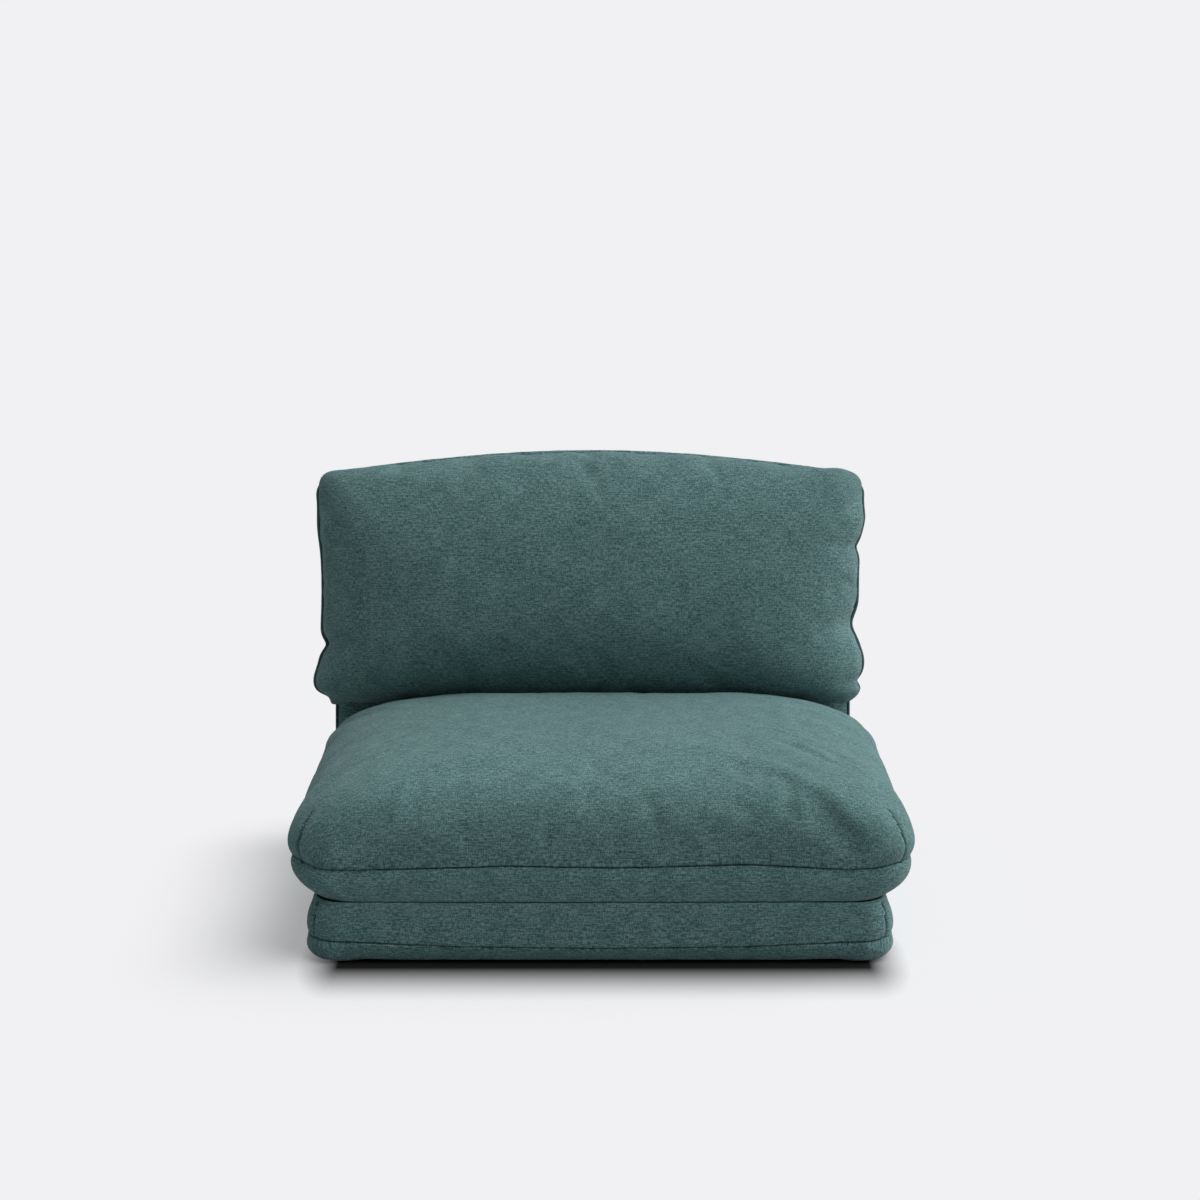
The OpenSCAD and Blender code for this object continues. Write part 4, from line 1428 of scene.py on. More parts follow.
@dataclass
class FootSection(BoxCushion):
    """The foot section, drawn base down and laid upside down under the seat.

    Attributes:
        front: Where its front is along Y.
        rear: Where its rear is.
        top: Its thickness.
        draw: How far the band is drawn in at the base.
        bow: How far its sides draw in at their middles.
        edge: Inset over which its crown rises.
        bulge: How far over the seam its sides are widest.
        dart_in: How far its upright seams stand in from its sides.
        run_x: Places of the seam's rises and falls along X.
        run_z: How far it rises at each.
    """

    name: str = "foot_cover"
    body: Body = Body.FOOT
    stands_for: tuple[str, ...] = ("foot_plush_panel", "foot_side_band", "foot_wadding", "foot_foam_slab")
    cell: float = 10 * MM
    fill: float = 0.75
    puff: Puff = Puff(cap=0.007, slack=0.012, bending=1.5)
    lip: float = 3.5 * MM
    half: float = 427 * MM
    profile: float = 370 * MM
    front: float = -329.4 * MM
    rear: float = 310 * MM
    top: float = 93.7 * MM
    seam_up: float = 56 * MM
    draw: float = 14 * MM
    corner: float = 46 * MM
    bow: float = 4 * MM
    edge: float = 24 * MM
    bulge: float = 14 * MM
    dart_in: float = 14 * MM
    rows: tuple[float, ...] = (0.92, 0.8, 0.64, 0.48, 0.32, 0.17, 0.06, 0.0)
    run_x: tuple[float, ...] = (-0.42, -0.36, -0.2, 0.0, 0.2, 0.36, 0.42)
    run_z: tuple[float, ...] = (0.001, 0.003, 0.010, 0.0125, 0.010, 0.003, 0.001)

    def band_level(self, up: float) -> Level:
        """Gives the band's outline at a height over the base."""
        draw, nip, tuck = undercut(up, self.seam_up, self.lip)
        return Level(self.half - 2 * MM - self.draw * draw - nip, self.front + tuck + nip,
                     self.rear - nip, self.corner, up, self.bow)

    def crowned(self) -> tuple[Crown, float]:
        """Gives the panel's crown and the inset at its middle."""
        rise = self.top - self.seam_up - self.bulge
        return Crown(self.edge, rise, 3.2, 0.6, self.lip, self.bulge), (self.rear - self.front) / 2

    def panel_level(self, inset: float, side: float, up: float) -> Level:
        """Gives the panel's outline at one ring."""
        inset, lip = max(inset, 0.0), -min(inset, 0.0)
        half = self.half - inset - lip - 2 * MM * (1 - min(1, up / 0.02))
        low, high = self.front + inset + lip, self.rear - inset - lip
        return Level(half, low, high, self.corner_at(inset, 0.3, half, low, high), self.seam_up + up,
                     self.bow * max(0, 1 - inset / 0.1))

    def hold_at(self, point: Vector) -> float:
        """Tells how firmly a point keeps its place as the cover is inflated."""
        return 1.0 if point.z < 0.15 * self.seam_up else 0.0

    def shape(self, points: np.ndarray, normals: np.ndarray) -> np.ndarray:
        """Gives the foot its puckers and flattens the side that the chair stands on."""
        points = pucker(points, normals, np.abs(points[:, 2] - self.seam_up), 18 * MM, 1.6 * MM)
        points = SeamRun(self.seam_up, self.run_x, self.run_z, 22 * MM).lift(points)
        points[:, 1] = -below(-points[:, 1], PLUSH_FRONT, 1 * MM)
        points[:, 2] = np.clip(points[:, 2], 0.0, self.top)
        return points

    def add_seams(self, bm: bmesh.types.BMesh) -> None:
        """Cuts the upright seams of the band's front corners."""
        for side in (-1, 1):
            corner = Vector((side * (self.half - self.dart_in), self.front + self.dart_in, 0))
            cut_dart(bm, corner, side, 2 * MM, self.seam_up - 2 * MM)

    def placed(self) -> Matrix:
        """Gives the move that lays the foot upside down."""
        return Matrix.Translation((0, 0, self.top)) @ Matrix.Diagonal((1, 1, -1, 1))


@dataclass
class BackPanel(BoxCushion):
    """The back section's padded panel, with pockets for the hinges in its lower edge.

    Attributes:
        low: Where its lower end is.
        high: Where its upper end is.
        rear_z: Where its rear face is.
        seam_z: Where its seam is.
        front_z: Where its front face is.
        front_limit: Farthest that its front reaches.
        steps: Where the band's rows are, down to its rear face.
        shift: How far it is shifted along X.
        tube_side: Where its hinge pockets are along X, to both sides.
        pocket_wide: Width of a pocket.
        welt_in: How far its piping stands in from its sides.
    """

    name: str = "back_cover"
    body: Body = Body.BACK
    stands_for: tuple[str, ...] = ("back_front_panel", "back_side_band", "back_foam_pad")
    cell: float = 11 * MM
    fill: float = 0.9
    puff: Puff = Puff(cap=0.004, slack=0.01, pressure=2.0)
    lip: float = 1.5 * MM
    half: float = 425 * MM
    profile: float = 270 * MM
    low: float = -15 * MM
    high: float = 487 * MM
    rear_z: float = -16.1 * MM
    seam_z: float = 26 * MM
    front_z: float = 38 * MM
    front_limit: float = 38.5 * MM
    corner: float = 44 * MM
    steps: tuple[float, ...] = (18 * MM, 8 * MM, -2 * MM, -9 * MM, -13.5 * MM, -16.1 * MM)
    shift: float = -12 * MM
    tube_side: float = 370 * MM
    pocket_wide: float = 17.2 * MM
    welt_in: float = 1.8 * MM

    def band_level(self, z: float) -> Level:
        """Gives the band's outline at a height in the panel's frame."""
        inset = 2 * MM * max(0.0, 1 - (z - self.rear_z) / (5 * MM))
        nip = self.lip * max(0.0, 1 - (self.seam_z - z) / (12 * MM)) ** 2
        return Level(self.half - inset - nip, self.low + inset + nip, self.high - inset - nip,
                     self.corner, z, shift=self.shift)

    def row_heights(self) -> list[float]:
        """Gives the places of the band's rows, down to its rear face."""
        return list(self.steps)

    def crowned(self) -> tuple[Crown, float]:
        """Gives the panel's crown and the inset at its middle."""
        bulge = 2.5 * MM
        crown = Crown(30 * MM, self.front_z - self.seam_z - bulge, 2.6, 0.55, self.lip, bulge)
        return crown, (self.high - self.low) / 2

    def panel_level(self, inset: float, side: float, up: float) -> Level:
        """Gives the panel's outline at one ring."""
        inset, lip = max(inset, 0.0), -min(inset, 0.0)
        half, low, high = self.half - inset - lip, self.low + inset + lip, self.high - inset - lip
        return Level(half, low, high, self.corner_at(inset, 0.2, half, low, high), self.seam_z + up,
                     shift=self.shift)

    def hold_at(self, point: Vector) -> float:
        """Tells how firmly a point keeps its place as the cover is inflated."""
        return 1.0 if point.z < 0 else 0.0

    def shape(self, points: np.ndarray, normals: np.ndarray) -> np.ndarray:
        """Keeps the panel clear of the seat and of the pillow's rear side."""
        points = pucker(points, normals, np.abs(points[:, 2] - self.seam_z), 12 * MM, 1.0 * MM)
        points[:, 2] = below(points[:, 2], self.front_limit, 0.6 * MM)
        return points

    def welt_path(self) -> np.ndarray:
        """Gives the run of the piping up one side, over the top and down the other."""
        ring = Level(self.half - self.welt_in, self.low, self.high - self.welt_in, self.corner, self.seam_z,
                     shift=self.shift)
        rise, run = np.linspace(0.1, 1, 60), np.linspace(0, 1, 110)
        up, over, down = (
            ring.spots(side, share)
            for side, share in ((Side.RIGHT, rise), (Side.HIGH, run[::-1]), (Side.LEFT, rise[::-1]))
        )
        return self.to_world(np.concatenate([up, over[1:-1], down]))

    def finish_shape(self, piece: bpy.types.Object) -> None:
        """Cuts the hinge pockets, which are lined with the base cloth."""
        piece.data.materials.append(COVER_CLOTH.material())
        bm = bmesh.new()
        for side in (-1, 1):
            self.add_pocket(bm, side * self.tube_side)
        bmesh.ops.transform(bm, matrix=hinge_frame(), verts=bm.verts)
        cutter = to_object(bm, "pocket_cutter")
        cutter.data.materials.append(BASE_CLOTH.material())
        cut = piece.modifiers.new("Pockets", "BOOLEAN")
        cut.operation = "DIFFERENCE"
        cut.object = cutter
        cut.solver = "MANIFOLD"
        cut.material_mode = "TRANSFER"
        bake(piece)
        bpy.data.objects.remove(cutter)

    def add_pocket(self, bm: bmesh.types.BMesh, middle: float) -> None:
        """Adds the shape of one hinge pocket, deeper in front of the frame than behind it.

        Args:
            bm: Mesh that takes it, in the back's own frame.
            middle: Its place along X.
        """
        low, step, high, top, behind = (v * MM for v in (-20.0, 22.5, 41.2, 44.0, -18.0))
        made = bmesh.ops.create_cube(bm, size=1.0)["verts"]
        bmesh.ops.scale(bm, vec=(self.pocket_wide, high - low, top), verts=made)
        bmesh.ops.translate(bm, vec=(middle, (low + high) / 2, top / 2), verts=made)
        faces = dict.fromkeys(f for v in made for f in v.link_faces)
        geom = list(faces) + list(dict.fromkeys(e for f in faces for e in f.edges)) + made
        bmesh.ops.bisect_plane(bm, geom=geom, dist=1e-6, plane_co=(0, step, 0), plane_no=(0, 1, 0))
        under = [
            f for f in bm.faces
            if abs(f.calc_center_median().z) < 1e-6 and f.calc_center_median().y < step
            and abs(f.calc_center_median().x - middle) < 1e-3
        ]
        grown = bmesh.ops.extrude_face_region(bm, geom=under)["geom"]
        grown = [v for v in grown if isinstance(v, bmesh.types.BMVert)]
        bmesh.ops.translate(bm, vec=(0, 0, behind), verts=grown)
        bmesh.ops.delete(bm, geom=[f for f in under if f.is_valid], context="FACES")
        bmesh.ops.recalc_face_normals(bm, faces=bm.faces)


@dataclass(frozen=True)
class Tuck:
    """A pull in the outline of a soft cushion.

    Attributes:
        x: Where it is along X.
        y: Where it is along Y.
        reach_x: How far it reaches along X.
        reach_y: How far it reaches along Y.
        move: How far it pulls along X and Y.
    """

    x: float
    y: float
    reach_x: float
    reach_y: float
    move: tuple[float, float]

    def pull(self, points: np.ndarray) -> np.ndarray:
        """Moves points near the tuck."""
        gap = ((points[:, 0] - self.x) / self.reach_x) ** 2 + ((points[:, 1] - self.y) / self.reach_y) ** 2
        share = np.exp(-gap)
        out = points.copy()
        out[:, 0] += self.move[0] * share
        out[:, 1] += self.move[1] * share
        return out


@dataclass
class Pillow(Cushion):
    """The loose-filled back pillow: a full front panel and a flatter rear one.

    Attributes:
        lip_side: Share of its lip by which its sides draw in there, negative outwards.
        half: Half of its width.
        low: Where its lower end is.
        tall: Its height.
        seam_z: Where its seam is.
        front: How far its front stands out from the seam.
        rear: How far its rear does.
        rear_limit: Farthest that its rear reaches back.
        profile: Rough length of a panel's profile, from the seam to the middle.
        middle_in: Inset at its middle, for the count of cells across.
        corner: Radius of its corners.
        bow: How far its upper end stands out at its middle.
        waist: How far its sides draw in at their middles.
        slump: Share by which its front hangs out at the lower end.
        dome: Factor of its swelling on its middle line, and how much of it is lost at its sides.
        shift: How far it is shifted along X.
        tucks: Pulls of its outline.
        creases: Its folds and dents.
    """

    name: str = "pillow"
    body: Body = Body.BACK
    stands_for: tuple[str, ...] = ("pillow_front_panel", "pillow_rear_panel", "pillow_filling")
    cell: float = 8.5 * MM
    fill: float = 0.55
    puff: Puff = Puff(cap=0.012, slack=0.018, bending=2.0)
    lip: float = 9 * MM
    groove: tuple[float, float] = (3 * MM, 1.2 * MM)
    lip_side: float = -0.1
    half: float = 443 * MM
    low: float = 111.2 * MM
    tall: float = 380 * MM
    seam_z: float = 74.5 * MM
    front: float = 146 * MM
    rear: float = 35 * MM
    rear_limit: float = 38.4 * MM
    profile: float = 300 * MM
    middle_in: float = 240 * MM
    corner: float = 25 * MM
    bow: float = 33 * MM
    waist: float = 8 * MM
    slump: float = 0.38
    dome: tuple[float, float] = (1.04, 0.24)
    shift: float = -16 * MM
    tucks: tuple[Tuck, ...] = (
        Tuck(-0.443, 0.206, 0.05, 0.014, (0.010, 0.0)),
        Tuck(-0.443, 0.150, 0.05, 0.020, (-0.006, 0.0)),
        Tuck(-0.440, 0.121, 0.03, 0.008, (0.014, 0.0)),
        Tuck(-0.425, 0.108, 0.02, 0.010, (-0.004, -0.007)),
        Tuck(-0.443, 0.395, 0.05, 0.03, (-0.003, 0.0)),
        Tuck(0.443, 0.366, 0.05, 0.012, (-0.006, 0.0)),
        Tuck(0.443, 0.240, 0.06, 0.024, (-0.012, 0.0)),
        Tuck(0.443, 0.182, 0.05, 0.018, (0.004, 0.0)),
        Tuck(0.443, 0.147, 0.05, 0.011, (-0.010, 0.0)),
        Tuck(0.443, 0.113, 0.04, 0.016, (-0.010, 0.0)),
        Tuck(0.443, 0.412, 0.05, 0.022, (0.005, 0.0)),
        Tuck(0.405, 0.492, 0.014, 0.03, (0.0, 0.004)),
    )
    creases: tuple[Crease, ...] = (
        Crease((-0.432, 0.112, 0.085), (-0.35, 0.165, 0.14), 9 * MM, 8 * MM),
        Crease((-0.425, 0.14, 0.09), (-0.37, 0.20, 0.14), 9 * MM, -4 * MM),
        Crease((0.43, 0.125, 0.085), (0.37, 0.23, 0.14), 8 * MM, 4 * MM),
        Crease((0.415, 0.125, 0.09), (0.35, 0.22, 0.14), 9 * MM, -4 * MM),
        Crease((0.435, 0.26, 0.08), (0.37, 0.27, 0.12), 9 * MM, 5 * MM),
        Crease((-0.435, 0.213, 0.08), (-0.38, 0.225, 0.12), 8 * MM, 4 * MM),
    )

    def level(self, inset: float, slump: float, z: float) -> Level:
        """Gives the pillow's outline at an inset, which is negative in the lip over its seam."""
        lip, inset = -min(inset, 0.0), max(inset, 0.0)
        half = self.half - inset - self.lip_side * lip
        low = self.low + inset * (1 - slump) + 0.6 * lip
        high = self.low + self.tall - inset - 1.6 * lip
        corner = min(self.corner + 0.35 * inset, 0.94 * min(half, (high - low) / 2))
        return Level(half, low, high, corner, z, self.waist * max(0.0, 1 - inset / 0.048),
                     self.bow * max(0.0, 1 - inset / 0.2))

    def side(self, depth: float, reach: float, power: float, root: float, slump: float,
             rings: int) -> tuple[list[Level], np.ndarray]:
        """Gives the levels of one of the pillow's panels.

        Args:
            depth: How far it stands out from the seam, negative for the rear one.
            reach: Inset at which it is fully out.
            power: How fast it rises, as an exponent.
            root: How round its shoulder is, as an exponent.
            slump: Share by which its lower end hangs out.
            rings: Count of rings after the seam's own.

        Returns:
            Its levels and its cloth's spare length at each.
        """
        last = self.tall / (2 - slump) - 1 * MM
        lip_rise = 0.14 * abs(depth)
        crown = Crown(reach, abs(depth) - lip_rise, power, root, self.lip, lip_rise)
        inset, up, spare = crown.line(last, rings)
        sign = 1 if depth > 0 else -1
        levels = [self.level(float(i), slump, self.seam_z + sign * float(u)) for i, u in zip(inset, up)]
        return levels, spare

    def start(self) -> tuple[bmesh.types.BMesh, float]:
        """Draws both panels and welds them along the seam."""
        bm = start_cover()
        rings = int(self.profile / self.cell)
        across = int(round(2 * (self.half - self.middle_in) / self.cell))
        counts = (2 * rings + across, 2 * rings)
        hold = bm.verts.layers.float["hold"]
        front = self.side(self.front, 230 * MM, 2.0, 0.52, self.slump, rings)
        ring, around = self.lay_seamed(bm, counts, *front)
        rear = place_panel(bm, counts, *self.side(-self.rear, 76 * MM, 2, 0.7, 0.0, rings))
        for v in rear.values():
            v[hold] = 0.6
        weld = {rear[place[0]]: vert for place, vert in zip(Border(counts).places, ring)}
        bmesh.ops.weld_verts(bm, targetmap=weld)
        return bm, around

    def shape(self, points: np.ndarray, normals: np.ndarray) -> np.ndarray:
        """Gives the pillow its soft dents and its uneven outline."""
        front = np.clip((points[:, 2] - self.seam_z) / (30 * MM), 0, 1)
        moved = soften(points, normals, 0.13, 4 * MM, 1.0)
        moved = soften(moved, normals, 0.05, 1.6 * MM, 4.0)
        points = points + (moved - points) * front[:, None]
        for crease in self.creases:
            points = crease.press(points, normals)
        out = np.maximum(points[:, 2] - self.seam_z, 0.0)
        points[:, 2] += out * (self.dome[0] - 1 - self.dome[1] * (points[:, 0] / self.half) ** 2)
        points[:, 2] = np.maximum(points[:, 2], self.rear_limit)
        return self.loosen(points)

    def loosen(self, points: np.ndarray) -> np.ndarray:
        """Pulls the outline at each tuck and shifts the pillow to its place."""
        for tuck in self.tucks:
            points = tuck.pull(points)
        points[:, 0] += self.shift
        return points

    def welt_path(self) -> np.ndarray:
        """Gives the run of the piping, just outside of the pillow's seam."""
        ring = self.level(-self.lip, 0.0, self.seam_z)
        points = self.loosen(Border((260, 110)).points(ring))
        ahead = np.roll(points, -1, 0) - np.roll(points, 1, 0)
        out = np.stack([ahead[:, 1], -ahead[:, 0], 0 * ahead[:, 0]], 1)
        return self.to_world(points + 1.2 * MM * out / np.linalg.norm(out, axis=1, keepdims=True))


# Welts, cords and flat cloths


@dataclass(frozen=True)
class Welt:
    """A round cord covered in cloth.

    Attributes:
        name: Name of its piece.
        body: Body that it rides on.
        stands_for: CAD nodes that it replaces.
        radius: Its radius.
        finish: Its cloth.
        slot: Its slot in the record; not used.
        sides: Count of its sides.
        uneven: Share by which it is thicker and thinner.
    """

    name: str
    body: Body
    stands_for: tuple[str, ...]
    radius: float
    finish: ClothFinish
    slot: Slot = Slot.SEAM
    sides: int = 10
    uneven: float = 0.07

    def build(self, path: np.ndarray, closed: bool) -> bpy.types.Object:
        """Draws the cord along a path.

        Args:
            path: Points of the path.
            closed: Whether it ends where it starts.

        Returns:
            The finished piece.
        """
        bm = start_cover()
        sides = self.sides
        made = bmesh.ops.create_circle(bm, segments=sides, radius=self.radius, cap_ends=not closed)
        ring = list(made["verts"])
        ahead = np.roll(path, -1, 0) - np.roll(path, 1, 0)
        if not closed:
            ahead[0], ahead[-1] = path[1] - path[0], path[-1] - path[-2]
        rows = []
        turn = 2 * math.pi * np.arange(sides) / sides
        middle = path.mean(0)
        for point, way in zip(path, ahead):
            way = way / np.linalg.norm(way)
            out = point - middle
            out = out - way * out.dot(way)
            out /= max(np.linalg.norm(out), 1e-9)
            side = np.cross(way, out)
            fat = self.radius * (1 + self.uneven * noise.noise(Vector(point) / (15 * MM)))
            rows.append(point + fat * (np.cos(turn)[:, None] * out + np.sin(turn)[:, None] * side))
        for n, vert in enumerate(ring):
            vert.co = rows[0][n]
        measure_along(bm, ring)
        last = draw_rows(bm, ring, rows[1:], Part.BAND)
        if closed:
            mark = bm.faces.layers.int["part"]
            made = bmesh.ops.bridge_loops(
                bm, edges=[bm.edges.get((r[n - 1], r[n])) for r in (ring, last) for n in range(sides)]
            )["faces"]
            for face in made:
                face[mark] = Part.BAND.value
        else:
            bmesh.ops.contextual_create(bm, geom=last)
        map_weave(bm, 2 * math.pi * self.radius)
        bmesh.ops.recalc_face_normals(bm, faces=bm.faces)
        piece = to_object(bm, self.name)
        piece.data.materials.append(self.finish.material())
        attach(piece, self.body.value)
        if self.stands_for:
            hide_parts(*self.stands_for)
        LOG.info("%s: %d faces", piece.name, len(piece.data.polygons))
        return piece


@dataclass(frozen=True)
class BaseSheet:
    """A taut sheet of base cloth with a slot for its zip.

    Attributes:
        name: Name of its piece.
        body: Body that it rides on.
        stands_for: CAD nodes that it replaces.
        outline: Its outline, at its outer face.
        zip_y: Where its zip runs.
        placed: Its move to the world.
        thick: Its thickness, upwards from the outer face.
        slot_half: Half of its zip slot's length.
        slot_wide: Half of its zip slot's width.
    """

    name: str
    body: Body
    stands_for: tuple[str, ...]
    outline: Level
    zip_y: float
    placed: Matrix
    thick: float = 2.4 * MM
    slot_half: float = 332 * MM
    slot_wide: float = 4.5 * MM

    def build(self) -> bpy.types.Object:
        """Builds the sheet.

        Returns:
            The finished piece.
        """
        bm = start_cover()
        rings = 8
        place_panel(bm, (2 * rings + 8, 2 * rings), nested(self.outline, rings), np.zeros(rings + 1))
        half, wide = self.slot_half, self.slot_wide
        for axis, at in ((0, -half), (0, half), (1, self.zip_y - wide), (1, self.zip_y + wide)):
            spot, normal = Vector((0, 0, 0)), Vector((0, 0, 0))
            spot[axis], normal[axis] = at, 1.0
            bmesh.ops.bisect_plane(bm, geom=bm.verts[:] + bm.edges[:] + bm.faces[:], dist=1e-6,
                                   plane_co=spot, plane_no=normal)
        gone = [
            f for f in bm.faces
            if abs(f.calc_center_median().x) < half and abs(f.calc_center_median().y - self.zip_y) < wide
        ]
        bmesh.ops.delete(bm, geom=gone, context="FACES")
        mark = bm.faces.layers.int["part"]
        made = bmesh.ops.extrude_face_region(bm, geom=bm.faces[:])["geom"]
        for item in made:
            if isinstance(item, bmesh.types.BMVert):
                item.co.z += self.thick
        for face in bm.faces:
            face[mark] = Part.BASE.value
        map_weave(bm, 1.0)
        bmesh.ops.transform(bm, matrix=self.placed, verts=bm.verts)
        bmesh.ops.recalc_face_normals(bm, faces=bm.faces)
        piece = to_object(bm, self.name)
        piece.data.shade_flat()
        piece.data.materials.append(BASE_CLOTH.material())
        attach(piece, self.body.value)
        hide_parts(*self.stands_for)
        return piece


@dataclass(frozen=True)
class FoldStrip:
    """The strip of cover cloth that joins the seat's base to the back's lower edge.

    Attributes:
        name: Name of its piece.
        half: Half of its length.
        radius: Radius that it bends round the hinge line with.
        bend: Degrees round that line at which the bend starts and ends.
        flat_from: Where its flat part starts along Y.
        thick: Its thickness.
    """

    name: str = "fold_strip"
    half: float = 357.4 * MM
    radius: float = 23.5 * MM
    bend: tuple[float, float] = (218.8, 310.3)
    flat_from: float = 323.1 * MM
    thick: float = 1.6 * MM

    def build(self, body: Body) -> bpy.types.Object:
        """Builds the strip.

        Args:
            body: Body that it rides on.

        Returns:
            The finished piece.
        """
        start, end = (math.radians(a) for a in self.bend)
        flat = PIVOT_Y + self.radius * math.cos(start) - self.flat_from
        total = flat + self.radius * (end - start)
        bm = start_cover()
        made = bmesh.ops.create_grid(bm, x_segments=60, y_segments=16, size=1.0)["verts"]
        yarn_x, yarn_y = bm.verts.layers.float["yarn_x"], bm.verts.layers.float["yarn_y"]
        for vert in made:
            x, s = vert.co.x * self.half, (vert.co.y + 1) / 2 * total
            vert[yarn_x], vert[yarn_y] = x, s
            if s < flat:
                vert.co = (x, self.flat_from + s, SEAT_BASE_Z + self.thick / 2 + 0.2 * MM)
            else:
                a = start + (s - flat) / self.radius
                vert.co = (x, PIVOT_Y + self.radius * math.cos(a), PIVOT_Z + self.radius * math.sin(a))
        map_weave(bm, 1.0)
        bmesh.ops.solidify(bm, geom=bm.faces[:], thickness=self.thick)
        bmesh.ops.recalc_face_normals(bm, faces=bm.faces)
        piece = to_object(bm, self.name)
        # Painted shade: the strip takes the darkened copy of the cover cloth.
        piece.data.materials.append(SHADED_WELT_CLOTH.material())
        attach(piece, body.value)
        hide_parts("rear_fold_strip")
        return piece


# Steel, webbing and zips of the CAD


@dataclass(frozen=True)
class HardFinish:
    """A finish of a CAD piece that stays as it is.

    Attributes:
        name: The material's name.
        colour: Its colour.
        metallic: How metallic it is.
        roughness: Its middle roughness.
        grain: Length of its surface's unevenness.
        relief: Height of that unevenness.
        ribs: Distance between its ribs along X, or 0 without any.
    """

    name: str
    colour: tuple[float, float, float]
    metallic: float = 0.0
    roughness: float = 0.5
    grain: float = 1.2 * MM
    relief: float = 0.05 * MM
    ribs: float = 0.0

    def material(self) -> bpy.types.Material:
        """Builds the material once and gives it again afterwards."""
        found = bpy.data.materials.get(self.name)
        if found:
            return found
        material, g, shader = fresh_material(self.name)
        place = g.add("TexCoord").outputs["Object"]
        grain = g.noise(place, 1 / self.grain, 2.0)
        cloud = g.noise(place, 18.0, 3.0)
        dark = (*(0.72 * c for c in self.colour), 1)
        g.put(shader.inputs["Base Color"], g.mix(cloud, dark, (*self.colour, 1)))
        uneven = g.math("MULTIPLY", cloud, 0.24)
        g.put(shader.inputs["Roughness"], g.math("ADD", uneven, self.roughness - 0.12))
        shader.inputs["Metallic"].default_value = self.metallic
        height = grain
        if self.ribs:
            sep = g.add("SeparateXYZ")
            g.put(sep.inputs[0], place)
            wave = g.math("SINE", g.math("MULTIPLY", sep.outputs[0], 2 * math.pi / self.ribs))
            height = g.math("ADD", g.math("MULTIPLY", wave, 2.0), grain)
        g.put(shader.inputs["Normal"], g.bump(height, 0.5, self.relief))
        return material


POWDER_BLACK = HardFinish("powder_black", (0.018, 0.018, 0.02), 0.0, 0.42, 0.9 * MM, 0.06 * MM)
ZINC = HardFinish("zinc_plate", (0.5, 0.52, 0.53), 1.0, 0.36, 2.5 * MM, 0.02 * MM)
SPRING_STEEL = HardFinish("spring_steel", (0.34, 0.35, 0.37), 1.0, 0.3, 3 * MM, 0.01 * MM)
WEBBING = HardFinish("webbing_black", (0.03, 0.03, 0.032), 0.0, 0.85, 0.8 * MM, 0.25 * MM, 2.4 * MM)
ZIP_BLACK = HardFinish("zip_black", (0.016, 0.016, 0.018), 0.0, 0.5, 0.6 * MM, 0.3 * MM, 1.6 * MM)
FINISH_OF_PART: tuple[tuple[str, HardFinish], ...] = (
    ("frame_bow", POWDER_BLACK), ("cross_tube", POWDER_BLACK), ("rivet", ZINC), ("cheeks", ZINC),
    ("hinge_arm", ZINC), ("pawl_spring", SPRING_STEEL), ("pawl", ZINC), ("straps", WEBBING),
    ("zip_chain", ZIP_BLACK), ("zip_slider", SPRING_STEEL),
)


def finish_cad(nodes: dict[str, bpy.types.Object]) -> None:
    """Gives every CAD piece that is kept its finish.

    Args:
        nodes: CAD pieces by name.
    """
    for name, node in nodes.items():
        finish = next((f for key, f in FINISH_OF_PART if key in name), ZINC)
        node.data.materials.clear()
        node.data.materials.append(finish.material())


# Studio


